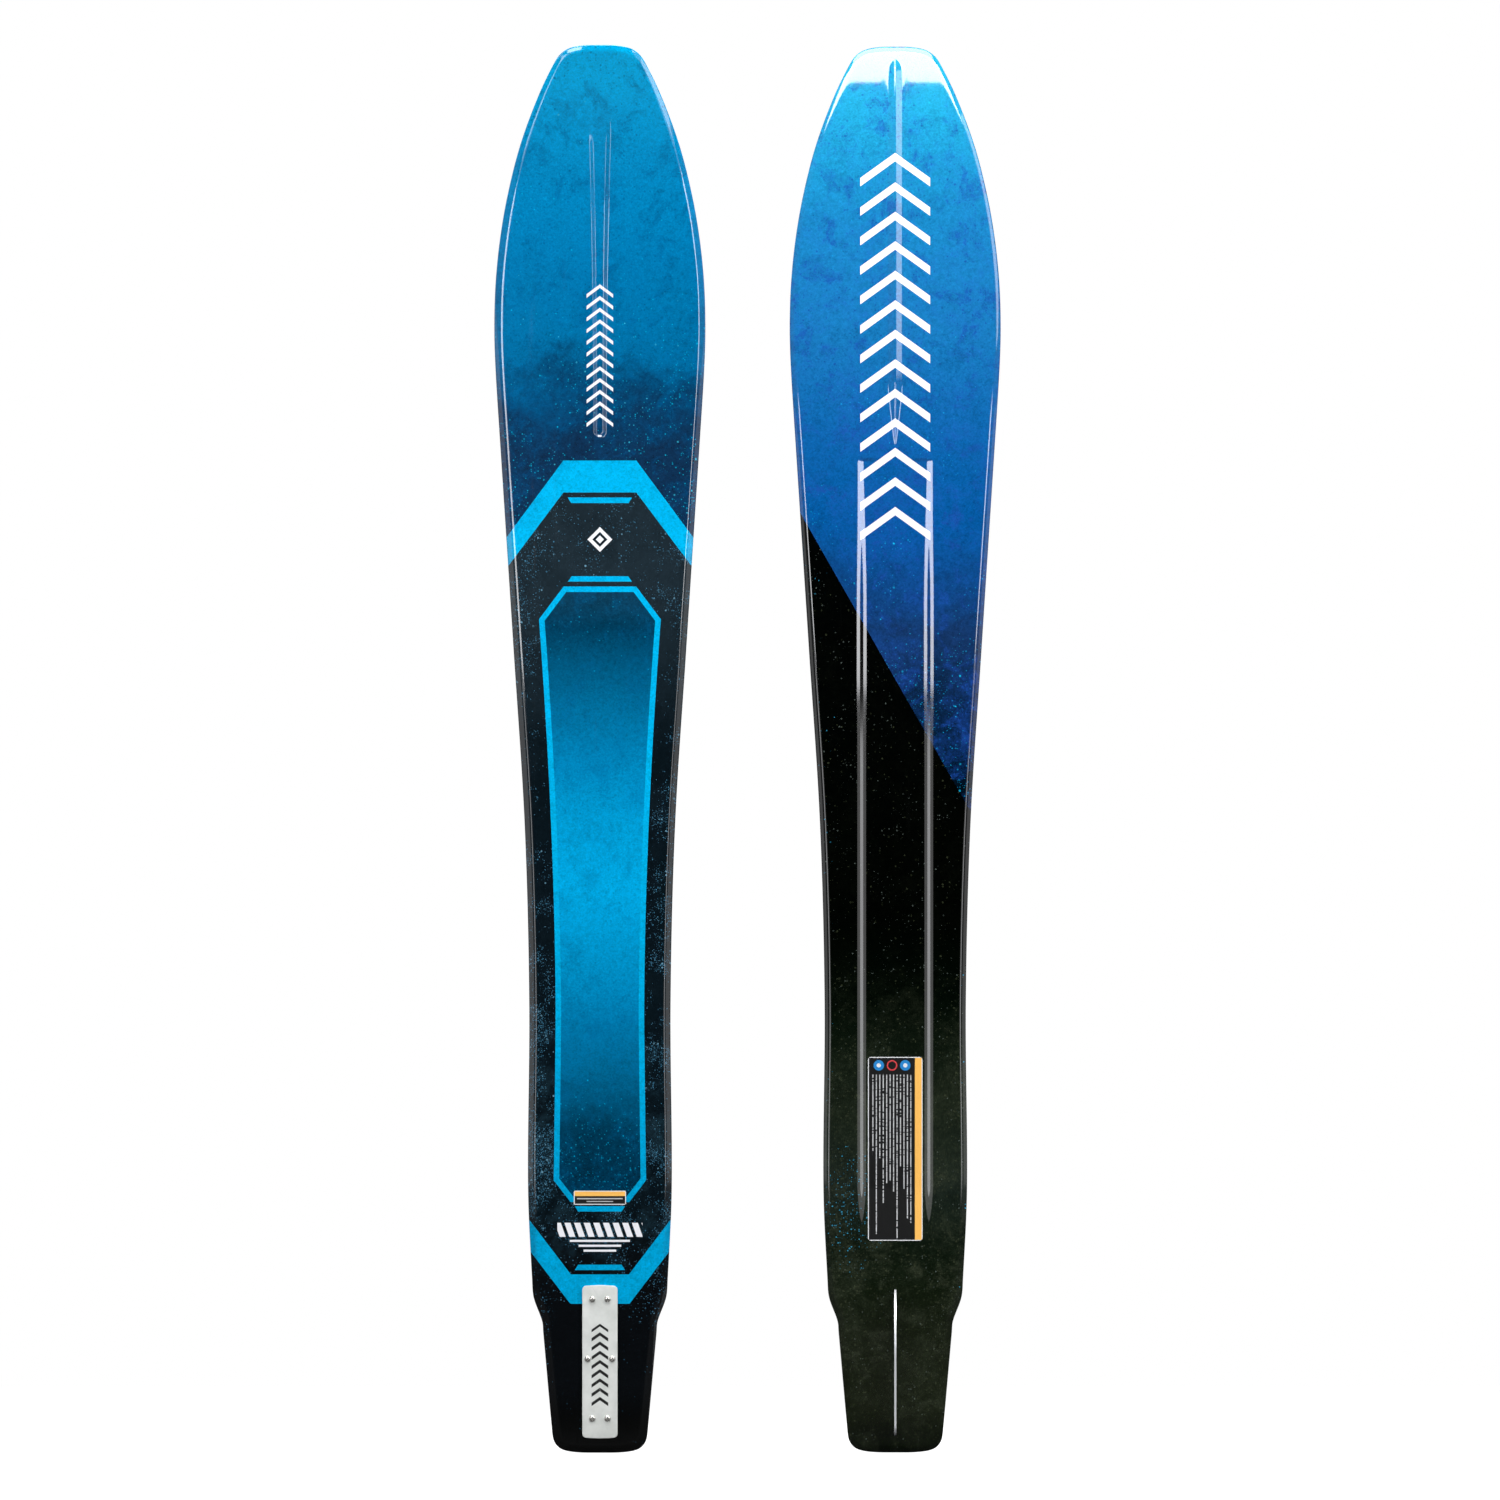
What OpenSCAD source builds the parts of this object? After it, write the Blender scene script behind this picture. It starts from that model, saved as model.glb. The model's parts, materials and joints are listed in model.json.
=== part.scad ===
// Pair of moulded slalom water skis standing tips up, one seen from its deck and one from its base.
// Each ski is a foam core between two laminates and two printed sheets, with a drop-through fin.
// One ski is built in its own frame: Z runs from the tail end to the tip, X across, and h is the
// height above the flat of the base, which points along -Y. The right ski is the left one turned
// half round about Z.

/* [Pair] */
// Distance between the centrelines of the two skis
ski_spacing = 368; // [330:1:600]

/* [Outline] */
// Length from tail end to tip end
ski_length = 1753; // [1753:1:1800]
// Width of the taper just above the rounded tail corners
tail_w = 116; // [110:1:118]
// Width of the tail where its taper meets the notch
notch_w = 142; // [134:1:150]
// Width at the shoulders above the notch
shoulder_w = 166; // [160:1:170]
// Width at the hips, in front of the fin
hip_w = 179; // [176:1:184]
// Width at the waist, under the boots
waist_w = 176; // [170:1:178]
// Width at the widest point
widest_w = 263; // [250:1:270]
// Width of the tip just below its rounded corners
tip_w = 104; // [98:1:110]
// How far the middle of the tip and of the tail bows out beyond the corners
end_bow = 1.4; // [1:0.1:2]

/* [Side profile] */
// Thickness under the boots
mid_t = 22; // [20:0.5:24]
// Thickness at the tip
tip_t = 9; // [8:0.5:12]
// Start of the tip curve, measured from the tail
curve_start = 1040; // [1000:10:1080]
// Rise of the long tip curve
long_rise = 72; // [60:1:80]
// Start of the extra kick at the tip
kick_start = 1560; // [1500:10:1600]
// Extra rise of the kick
kick_rise = 28; // [20:1:36]
// Start of the tail rocker
rocker_start = 250; // [250:10:300]
// Rise of the base at the tail end
rocker_rise = 8; // [4:0.5:9]

/* [Edges] */
// Width of the deck bevel
deck_bevel_w = 7.3; // [6:0.1:8]
// Width of the base bevel
base_bevel_w = 6; // [5:0.1:7]
// Drop of the deck bevel as a share of the thickness
deck_bevel_share = 0.3; // [0.2:0.01:0.34]
// Rise of the base bevel as a share of the thickness
base_bevel_share = 0.22; // [0.15:0.01:0.26]

/* [Tunnel and keel] */
// Half width of the tunnel at its upper edges
tunnel_outer = 46.7; // [44:0.1:50]
// Half width of the tunnel floor
tunnel_inner = 37; // [34:0.1:40]
// Depth of the tunnel
tunnel_depth = 3.2; // [2:0.1:4]
// Half width of the V keel under the tip, away from its pointed ends
keel_half_w = 8.5; // [7:0.1:10]
// Height of the V keel
keel_h = 3.6; // [2:0.1:4]
// Depth of the deck channel above the keel
channel_depth = 2.5; // [1.5:0.1:3]

/* [Layers] */
// Thickness of each printed sheet
sheet_t = 0.6; // [0.5:0.05:0.8]
// Thickness of each fibre laminate
laminate_t = 1.6; // [1.2:0.1:2]
// Thickness of the stickers
label_t = 0.15; // [0.1:0.05:0.2]

/* [Boot inserts] */
// Distance between insert rows across the ski
insert_spacing_x = 76; // [70:1:80]
// Distance between the two inserts of a row
insert_spacing_z = 165; // [150:1:170]
// Middle of the front boot, measured from the tail
front_boot_z = 887; // [870:1:900]
// Middle of the rear boot, measured from the tail
rear_boot_z = 590; // [570:1:610]
// Tapping radius of the insert thread
insert_bore_r = 2.1; // [2:0.05:2.2]

/* [Fin] */
// Thickness of the fin blade
blade_t = 2.5; // [2:0.1:3]
// Lower end of the blade, measured from the tail
blade_z0 = 22; // [20:1:24]
// Upper end of the blade
blade_z1 = 203; // [200:1:204]
// Depth of the blade below the flat of the base
blade_depth = 65; // [50:1:70]
// Thickness of the two angle flanges
flange_t = 1.5; // [1.2:0.1:1.8]
// Width of the cover plate
cover_w = 44; // [42:1:46]
// Length of the cover plate
cover_len = 191; // [188:1:194]
// Thickness of the cover plate
cover_t = 3.5; // [3:0.1:4.5]
// Lower end of the cover plate, measured from the tail
cover_z0 = 17.8; // [16:0.1:18]

/* [Hidden] */
SIDES = ["left_", "right_"];
PIECES = [
    "top_sheet", "top_laminate", "foam_core", "bottom_laminate", "base_sheet",
    "front_insert_plate", "rear_insert_plate", "front_boot_inserts", "rear_boot_inserts",
    "fin_block", "fin_gasket", "fin_inserts", "deck_label", "base_label",
    "fin_blade", "fin_flange_inner", "fin_flange_outer", "fin_rivets",
    "fin_cover_plate", "fin_screws"
];
$fn = 48;

shell_t = sheet_t + laminate_t; // both layers over the core
tail_corner_r = 20;             // radius of the tail corners
tip_corner_r = 16;              // radius of the tip corners
bow_share = 0.45;               // width of the flat on a bowed end over the width between corners
core_top = mid_t - shell_t;     // height of the flat top of the core

tunnel_z0 = 250;  // tail end of the tunnel
tunnel_z1 = 1240; // tip end of the tunnel
tunnel_fade = 80; // length over which the tunnel sinks to its full depth
keel_z0 = 1253;   // tail end of the keel
keel_z1 = 1738;   // tip end of the keel
keel_fade = 80;   // length of the keel's long point
keel_nose = 18;   // length of the keel's short point
channel_z0 = 1265;
channel_z1 = 1700;
channel_end = 12;   // length of the channel's closed end
channel_fade = 100; // length over which the channel runs out towards the tip
channel_half_w0 = 7.3;
channel_half_w1 = 16;
channel_floor_share = 0.58; // floor width over full width

// Half widths that the outline passes through, from the tail corners to the tip corners
OUTLINE = [
    [0, tail_w / 2 - 1], [20, tail_w / 2 + 1], [150, notch_w / 2 - 0.4],
    [164, notch_w / 2 + 1], [193, shoulder_w / 2 - 0.6], [214, shoulder_w / 2 + 1.4],
    [330, hip_w / 2], [560, waist_w / 2], [780, 93.6], [1000, 107.5], [1260, 124.4],
    [1350, 130], [1400, widest_w / 2], [1455, 130], [1510, 124.6], [1566, 115], [1629, 99],
    [1691, 76], [ski_length - 19, tip_w / 2 + 3], [ski_length, tip_w / 2 - 9.3]
];

// Heights along the ski at which its cross-section is drawn
END_STATIONS = [0, end_bow, 4, deck_bevel_w, 12];
STATIONS = concat(
    END_STATIONS,
    [20, 85, 145, 160, 172, 184, 196, 212, tunnel_z0, tunnel_z0 + tunnel_fade],
    [560, 680, 800, 920, curve_start, tunnel_z1 - tunnel_fade, tunnel_z1],
    [channel_z0, channel_z0 + channel_end, keel_z0 + keel_fade, 1400, 1460, 1515, 1566, 1610],
    [channel_z1 - 45, channel_z1, keel_z1 - keel_nose, keel_z1 - 4],
    [for (i = [len(END_STATIONS) - 1:-1:0]) ski_length - END_STATIONS[i]]
);

// ---------- curves ----------

function clamp01(t) = min(1, max(0, t));
function ease(t) = let (c = clamp01(t)) c * c * (3 - 2 * c);
function sum(list, i = 0) = i < len(list) ? list[i] + sum(list, i + 1) : 0;

// Slope of a curve through the points at its point i
function slope(p, i) =
    let (a = max(0, i - 1), b = min(len(p) - 1, i + 1))
    (p[b][1] - p[a][1]) / (p[b][0] - p[a][0]);

// Smooth cubic curve through the points, read at z
function through(p, z) =
    let (
        i = min(len(p) - 2, sum([for (k = [1:len(p) - 1]) z >= p[k][0] ? 1 : 0])),
        step = p[i + 1][0] - p[i][0],
        t = clamp01((z - p[i][0]) / step),
        u = 1 - t
    )
    u * u * (1 + 2 * t) * p[i][1] + t * t * (3 - 2 * t) * p[i + 1][1]
    + step * t * u * (u * slope(p, i) - t * slope(p, i + 1));

// Width that a corner of radius r takes off each side at distance d from its end
function corner_cut(d, r) =
    let (left = r - max(d, end_bow))
    left <= 0 ? 0 : r - sqrt(max(0, r * r - left * left * pow(r / (r - end_bow), 2)));

// Share of the width that remains where the bowed end itself narrows
function bow_at(d) = d >= end_bow ? 1 : bow_share + (1 - bow_share) * sqrt(d / end_bow);

function end_distance(z) = min(z, ski_length - z);
function half_w(z) =
    bow_at(end_distance(z))
    * (through(OUTLINE, z) - corner_cut(z, tail_corner_r) - corner_cut(ski_length - z, tip_corner_r));

// Height of the base and of the deck along the centreline, without keel, tunnel or channel
function base_h(z) =
    z > curve_start
    ? long_rise * pow((z - curve_start) / (ski_length - curve_start), 2)
      + kick_rise * pow(max(0, z - kick_start) / (ski_length - kick_start), 2)
    : rocker_rise * pow(max(0, rocker_start - z) / rocker_start, 2);
function deck_h(z) =
    z > curve_start
    ? base_h(z) + mid_t - (mid_t - tip_t) * ease((z - curve_start) / (ski_length - curve_start))
    : mid_t;
function thickness(z) = deck_h(z) - base_h(z);
function parting_h(z) = (deck_h(z) + base_h(z)) / 2;

function tunnel_at(z) =
    tunnel_depth * clamp01((z - tunnel_z0) / tunnel_fade) * clamp01((tunnel_z1 - z) / tunnel_fade);
function keel_at(z) = clamp01((z - keel_z0) / keel_fade) * clamp01((keel_z1 - z) / keel_nose);
function keel_side(z) = keel_half_w * max(0.05, keel_at(z)); // half width, pointed at both ends
function channel_at(z) =
    channel_depth * clamp01((z - channel_z0) / channel_end) * clamp01((channel_z1 - z) / channel_fade);
function channel_half_w(z) =
    channel_half_w0 + (channel_half_w1 - channel_half_w0) * clamp01((z - channel_z0) / (channel_z1 - channel_z0));

// How much of the edge bevel applies at distance e from the edge
function fall(e, w) = clamp01(1 - e / w);

// ---------- cross-sections, at depth t below the outer surface ----------

// Height of the ski's own z for a layer at depth t, so that each layer closes over the one inside
function layer_z(z, t) = t + z * (ski_length - 2 * t) / ski_length;

function mirrored(half) =
    concat([for (p = half) [-p[0], p[1], p[2]]], [for (i = [len(half) - 1:-1:0]) half[i]]);

// Deck line from the left parting edge over the deck to the right parting edge
function deck_line(z, t) =
    let (
        w = half_w(z),
        drop = deck_bevel_share * thickness(z) - 0.6 * t,
        flat = w - deck_bevel_w - 0.4 * t,
        end = fall(end_distance(z), deck_bevel_w) * drop,
        top = deck_h(z) - t - end,
        co = min(channel_half_w(z), 0.6 * flat),
        ci = channel_floor_share * co,
        lz = layer_z(z, t)
    )
    mirrored([
        [w - t, -parting_h(z), lz], [w - t, -(deck_h(z) - t - drop), lz], [flat, -top, lz],
        [co, -top, lz], [ci, -(top - channel_at(z)), lz]
    ]);

// Base line from the left parting edge under the base to the right parting edge
function base_line(z, t) =
    let (
        w = half_w(z),
        rise = base_bevel_share * thickness(z) - 0.6 * t,
        flat = w - base_bevel_w - 0.4 * t,
        end = fall(end_distance(z), base_bevel_w) * rise,
        bottom = base_h(z) + t + end,
        k = min(1, 0.92 * flat / tunnel_outer),
        floor_h = bottom + tunnel_at(z),
        half = [
            [w - t, -parting_h(z)], [w - t, -(base_h(z) + t + rise)], [flat, -bottom],
            [k * tunnel_outer, -bottom], [k * tunnel_inner, -floor_h], [k * keel_side(z), -floor_h]
        ],
        lz = layer_z(z, t),
        side = [for (p = half) [p[0], p[1], lz]]
    )
    concat(
        [for (p = side) [-p[0], p[1], p[2]]],
        [[0, -(floor_h - keel_h * keel_at(z)), lz]],
        [for (i = [len(side) - 1:-1:0]) side[i]]
    );

function deck_grid(t) = [for (z = STATIONS) deck_line(z, t)];
function base_grid(t) = [for (z = STATIONS) base_line(z, t)];
function flatten(grid) = [for (row = grid) each row];

// ---------- solids from cross-sections ----------

// Triangles between neighbouring lines of n points, the first point numbered start
function sheet_faces(rows, n, start, outward) = [
    for (i = [0:rows - 2]) for (j = [0:n - 2])
        let (a = start + i * n + j, b = a + 1, c = a + n, d = c + 1)
        each (outward ? [[a, c, b], [b, c, d]] : [[a, b, c], [b, d, c]])
];
function count_to(n, start) = [for (j = [0:n - 1]) start + j];
function backwards(list) = [for (i = [len(list) - 1:-1:0]) list[i]];

// Shell between an outer and an inner surface, closed at both ends and along the parting edge
module tray(outer, inner, is_deck) {
    rows = len(outer);
    n = len(outer[0]);
    m = rows * n;
    last = m - n;
    rim = [
        for (i = [0:rows - 2])
            let (a = i * n, b = a + n - 1)
            each [
                [a, a + m + n, a + n], [a, a + m, a + m + n],
                [b, b + n, b + m + n], [b, b + m + n, b + m]
            ]
    ];
    ends = [
        count_to(n, 0), backwards(count_to(n, m)), backwards(count_to(n, last)), count_to(n, m + last),
        [0, n - 1, m + n - 1, m], [last, m + last, m + last + n - 1, last + n - 1]
    ];
    faces = concat(sheet_faces(rows, n, 0, true), sheet_faces(rows, n, m, false), rim, ends);
    polyhedron(
        concat(flatten(outer), flatten(inner)),
        is_deck ? faces : [for (f = faces) backwards(f)]
    );
}

// Solid inside both inner surfaces
module full_core() {
    deck = deck_grid(shell_t);
    base = base_grid(shell_t);
    loops = [
        for (i = [0:len(deck) - 1])
            concat(deck[i], [for (j = [len(base[i]) - 2:-1:1]) base[i][j]])
    ];
    rows = len(loops);
    n = len(loops[0]);
    last = (rows - 1) * n;
    around = [
        for (i = [0:rows - 2]) for (j = [0:n - 1])
            let (a = i * n + j, b = i * n + (j + 1) % n, c = a + n, d = b + n)
            each (j < len(deck[0]) - 1 ? [[a, c, b], [b, c, d]] : [[a, d, b], [a, c, d]])
    ];
    tail_end = count_to(n, 0);
    tip_end = concat([last], backwards(count_to(n - 1, last + 1)));
    polyhedron(flatten(loops), concat(around, [tail_end, tip_end]));
}

// ---------- helpers ----------

// Box from low to high corner in X, height and Z
module block(x, h, z) {
    translate([x[0], -h[1], z[0]]) cube([x[1] - x[0], h[1] - h[0], z[1] - z[0]]);
}

// Round bar or hole along the height, between two heights
module upright(x, z, h0, h1, r) {
    translate([x, -h0, z]) rotate([90, 0, 0]) cylinder(r = r, h = h1 - h0);
}

// Rounded plate lying on the deck, between two heights
module plate(w, z, h0, h1, r) {
    translate([0, -h0, (z[0] + z[1]) / 2]) rotate([90, 0, 0])
        linear_extrude(h1 - h0) rounded_rect(w, z[1] - z[0], r);
}

module rounded_rect(w, l, r) {
    square([w - 2 * r, l], center = true);
    square([w, l - 2 * r], center = true);
    for (sx = [-1, 1]) for (sy = [-1, 1])
        translate([sx * (w / 2 - r), sy * (l / 2 - r)]) circle(r);
}

// Side view drawn as [height, z] points, given thickness t across the ski
module side_view(points, t) {
    rotate([90, 0, -90]) linear_extrude(t, center = true) polygon(points);
}

module ski_left() {
    translate([-ski_spacing / 2, 0, 0]) children();
}
module ski_right() {
    translate([ski_spacing / 2, 0, 0]) rotate([0, 0, 180]) children();
}

// ---------- boot inserts ----------

insert_flange_r = 6;
insert_flange_t = 1.2;
insert_barrel_r = 4.5;
insert_len = 12;
insert_bore_depth = 10;
deck_hole_r = 2.6;     // clearance hole in the sheet and laminate above each insert
insert_plate_t = 3;
insert_plate_w = 104;
insert_plate_len = 210;

function boot_holes(z) = [
    for (sx = [-1, 1]) for (sz = [-1, 1])
        [sx * insert_spacing_x / 2, z + sz * insert_spacing_z / 2]
];
ALL_BOOT_HOLES = concat(boot_holes(front_boot_z), boot_holes(rear_boot_z));

module insert_envelope(p) {
    upright(p[0], p[1], core_top - insert_len, core_top, insert_barrel_r);
    upright(p[0], p[1], core_top - insert_flange_t, core_top, insert_flange_r);
}

module boot_inserts(z) {
    color("silver")
        for (p = boot_holes(z)) difference() {
            insert_envelope(p);
            upright(p[0], p[1], core_top - insert_bore_depth, core_top + 1, insert_bore_r);
        }
}

module insert_plate_blank(z) {
    span = [z - insert_plate_len / 2, z + insert_plate_len / 2];
    plate(insert_plate_w, span, core_top - insert_plate_t, core_top, 12);
}

module insert_plate(z) {
    color("lightgrey") difference() {
        insert_plate_blank(z);
        for (p = boot_holes(z)) insert_envelope(p);
    }
}

// ---------- fin ----------

cover_z1 = cover_z0 + cover_len;
recess_w = 40;                              // opening in the sheet and laminate under the cover
recess_z = [cover_z0 + 2.2, cover_z1 - 2];
gasket_t = shell_t - flange_t;
flange_w = 19;                              // width of each flange from the ski's centreline
flange_z = [cover_z0 + 4.2, cover_z1 - 4];
leg_h = 6.8;                                // height of each flange's leg below its underside
leg_z = [blade_z0 + 4, blade_z1 - 4];
slot_half = blade_t / 2 + 0.25;
slot_z = [blade_z0 - 1, blade_z1 + 1];
pocket_half = 4.4;                          // room for the legs and rivet heads
pocket_floor = 12.6;
block_half = 24;
block_z = [10, 214];

screw_pitch = 74.3;
screw_mid_z = 116.9;
SCREW_ROWS = [[9.4, -1], [15.3, 0], [9.4, 1]];
SCREWS = [
    for (row = SCREW_ROWS) for (side = [-1, 1])
        [side * row[0], screw_mid_z + row[1] * screw_pitch]
];
shank_r = 2;
shank_len = 13;
head_r = 4;
head_h = 2.4;
thread_r = shank_r + 0.05;     // bore of each fin insert
screw_hole_r = shank_r + 0.25; // clearance holes above the inserts
fin_insert_r = 3;
fin_insert_len = 9;

rivet_r = 1.5;
rivet_head_r = 2.6;
rivet_head_h = 0.9;
rivet_h = 16.6;
RIVET_Z = [for (i = [0:3]) 40 + 48 * i];

module screw_holes(h0, h1, r) {
    for (p = SCREWS) upright(p[0], p[1], h0, h1, r);
}

module recess_cut() {
    plate(recess_w, recess_z, core_top - 1, mid_t + 1, 4);
}

module slot_cut() {
    block([-slot_half, slot_half], [-2, mid_t + 1], slot_z);
}

module fin_block_room() {
    block([-block_half, block_half], [-1, mid_t], block_z);
}

// Fin outline as [height, z]: a straight foot inside the ski, a swept leading edge drawn as a
// quarter ellipse, a lower edge that rises a little towards the tail and a rounded corner there
fin_foot_h = core_top - 0.4;
fin_sweep = 78;
fin_trail_r = 12;
fin_lower_rise = 4;
FIN_OUTLINE = concat(
    [[fin_foot_h, blade_z0], [fin_foot_h, blade_z1]],
    [for (a = [0:6:90]) [-blade_depth * sin(a), blade_z1 - fin_sweep * (1 - cos(a))]],
    [for (a = [0:15:90]) [
        fin_lower_rise - blade_depth + fin_trail_r * (1 - cos(a)),
        blade_z0 + fin_trail_r * (1 - sin(a))
    ]]
);

module rivet_bores(r) {
    for (z = RIVET_Z) translate([0, -rivet_h, z]) rotate([0, 90, 0])
        cylinder(r = r, h = 20, center = true);
}

// One angle flange: a flat strip on the block and a leg down the side of the blade
module fin_flange(side) {
    x0 = blade_t / 2;
    underside = core_top + gasket_t;
    color("silver") difference() {
        mirror([side < 0 ? 1 : 0, 0, 0]) {
            block([x0, flange_w], [underside, mid_t], flange_z);
            block([x0, x0 + flange_t], [underside - leg_h, mid_t - 0.01], leg_z);
        }
        screw_holes(underside - 1, mid_t + 1, screw_hole_r);
        rivet_bores(rivet_r);
    }
}

module fin_blade() {
    color("gainsboro") difference() {
        side_view(FIN_OUTLINE, blade_t);
        rivet_bores(rivet_r);
    }
}

module fin_rivets() {
    grip = blade_t + 2 * flange_t;
    color("silver") for (z = RIVET_Z) translate([0, -rivet_h, z]) rotate([0, 90, 0]) {
        cylinder(r = rivet_r, h = grip, center = true);
        for (side = [-1, 1]) translate([0, 0, side * (grip + rivet_head_h) / 2])
            cylinder(r = rivet_head_r, h = rivet_head_h, center = true);
    }
}

module fin_gasket() {
    color("dimgray") difference() {
        plate(recess_w - 1, [recess_z[0] + 0.5, recess_z[1] - 0.5], core_top, core_top + gasket_t, 3.5);
        block([-pocket_half, pocket_half], [core_top - 1, mid_t], slot_z);
        screw_holes(core_top - 1, mid_t, screw_hole_r);
    }
}

module fin_block() {
    color("tan") difference() {
        intersection() {
            full_core();
            fin_block_room();
        }
        slot_cut();
        block([-pocket_half, pocket_half], [pocket_floor, mid_t], slot_z);
        screw_holes(core_top - fin_insert_len, mid_t, fin_insert_r);
    }
}

module fin_inserts() {
    color("goldenrod") for (p = SCREWS) difference() {
        upright(p[0], p[1], core_top - fin_insert_len, core_top, fin_insert_r);
        upright(p[0], p[1], core_top - fin_insert_len - 1, core_top + 1, thread_r);
    }
}

// Cover plate with bowed ends: its outline is a rectangle closed by a shallow arc at each end
cover_bow = 1.4;
cover_end_r = (cover_w * cover_w / 4 + cover_bow * cover_bow) / (2 * cover_bow);

module fin_cover_plate() {
    color("whitesmoke") difference() {
        intersection() {
            plate(cover_w, [cover_z0, cover_z1], mid_t, mid_t + cover_t, 5);
            upright(0, cover_z0 + cover_end_r, mid_t, mid_t + cover_t, cover_end_r, $fn = 240);
            upright(0, cover_z1 - cover_end_r, mid_t, mid_t + cover_t, cover_end_r, $fn = 240);
        }
        screw_holes(mid_t - 1, mid_t + cover_t + 1, screw_hole_r);
    }
}

// Pan-head screws with a cross recess
module fin_screws() {
    seat = mid_t + cover_t;
    recess_len = 4.4;
    recess_t = 1;
    recess_depth = 1.5;
    color("silver") for (p = SCREWS) difference() {
        union() {
            upright(p[0], p[1], seat - shank_len, seat + 0.2, shank_r);
            upright(p[0], p[1], seat, seat + head_h - 0.8, head_r);
            translate([p[0], -(seat + head_h - 0.8), p[1]]) rotate([90, 0, 0])
                cylinder(r1 = head_r, r2 = head_r - 0.9, h = 0.8);
        }
        for (turn = [0, 90]) translate([p[0], -(seat + head_h), p[1]]) rotate([0, turn, 0])
            cube([recess_len, 2 * recess_depth, recess_t], center = true);
    }
}

// ---------- body of the ski ----------

module deck_openings() {
    recess_cut();
    for (p = ALL_BOOT_HOLES) upright(p[0], p[1], core_top - 1, mid_t + 1, deck_hole_r);
}

module top_sheet() {
    color("deepskyblue") difference() {
        tray(deck_grid(0), deck_grid(sheet_t), true);
        deck_openings();
    }
}

module top_laminate() {
    color("black") difference() {
        tray(deck_grid(sheet_t), deck_grid(shell_t), true);
        deck_openings();
    }
}

module foam_core() {
    color("khaki") difference() {
        full_core();
        fin_block_room();
        for (z = [front_boot_z, rear_boot_z]) insert_plate_blank(z);
        for (p = ALL_BOOT_HOLES) insert_envelope(p);
    }
}

module bottom_laminate() {
    color("black") difference() {
        tray(base_grid(sheet_t), base_grid(shell_t), false);
        slot_cut();
    }
}

module base_sheet() {
    color("dodgerblue") difference() {
        tray(base_grid(0), base_grid(sheet_t), false);
        slot_cut();
    }
}

// ---------- stickers ----------

deck_label_w = 65;
deck_label_z = [309, 326.5];
base_label_w = 68;
base_label_z = [264, 493];

module deck_label() {
    color("whitesmoke") plate(deck_label_w, deck_label_z, mid_t, mid_t + label_t, 2);
}

// Sticker on the tunnel floor, which slopes up to the base over the tunnel's last stretch
module base_label() {
    heights = [base_label_z[0], tunnel_z0 + tunnel_fade, base_label_z[1]];
    on_floor = [for (z = heights) [base_h(z) + tunnel_at(z), z]];
    color("orange") intersection() {
        side_view(
            concat(on_floor, [for (p = backwards(on_floor)) [p[0] - label_t, p[1]]]), base_label_w
        );
        plate(base_label_w, base_label_z, -label_t - 1, tunnel_depth + 1, 4);
    }
}

ski_left() top_sheet();  // left_top_sheet
ski_left() top_laminate();  // left_top_laminate
ski_left() foam_core();  // left_foam_core
ski_left() bottom_laminate();  // left_bottom_laminate
ski_left() base_sheet();  // left_base_sheet
ski_left() insert_plate(front_boot_z);  // left_front_insert_plate
ski_left() insert_plate(rear_boot_z);  // left_rear_insert_plate
ski_left() boot_inserts(front_boot_z);  // left_front_boot_inserts
ski_left() boot_inserts(rear_boot_z);  // left_rear_boot_inserts
ski_left() fin_block();  // left_fin_block
ski_left() fin_gasket();  // left_fin_gasket
ski_left() fin_inserts();  // left_fin_inserts
ski_left() deck_label();  // left_deck_label
ski_left() base_label();  // left_base_label
ski_left() fin_blade();  // left_fin_blade
ski_left() fin_flange(1);  // left_fin_flange_inner
ski_left() fin_flange(-1);  // left_fin_flange_outer
ski_left() fin_rivets();  // left_fin_rivets
ski_left() fin_cover_plate();  // left_fin_cover_plate
ski_left() fin_screws();  // left_fin_screws

ski_right() top_sheet();  // right_top_sheet
ski_right() top_laminate();  // right_top_laminate
ski_right() foam_core();  // right_foam_core
ski_right() bottom_laminate();  // right_bottom_laminate
ski_right() base_sheet();  // right_base_sheet
ski_right() insert_plate(front_boot_z);  // right_front_insert_plate
ski_right() insert_plate(rear_boot_z);  // right_rear_insert_plate
ski_right() boot_inserts(front_boot_z);  // right_front_boot_inserts
ski_right() boot_inserts(rear_boot_z);  // right_rear_boot_inserts
ski_right() fin_block();  // right_fin_block
ski_right() fin_gasket();  // right_fin_gasket
ski_right() fin_inserts();  // right_fin_inserts
ski_right() deck_label();  // right_deck_label
ski_right() base_label();  // right_base_label
ski_right() fin_blade();  // right_fin_blade
ski_right() fin_flange(1);  // right_fin_flange_inner
ski_right() fin_flange(-1);  // right_fin_flange_outer
ski_right() fin_rivets();  // right_fin_rivets
ski_right() fin_cover_plate();  // right_fin_cover_plate
ski_right() fin_screws();  // right_fin_screws
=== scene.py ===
"""Looks of a pair of moulded water skis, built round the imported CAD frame.

Each ski is drawn in its own coordinates, in millimetres: x across, z from the tail end to the tip,
and h above the flat of the base. The printed sheets are smooth closed shells that stand for the
faceted CAD ones, and their graphics are painted by shader nodes from x and z.
"""

import json
import math

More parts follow.
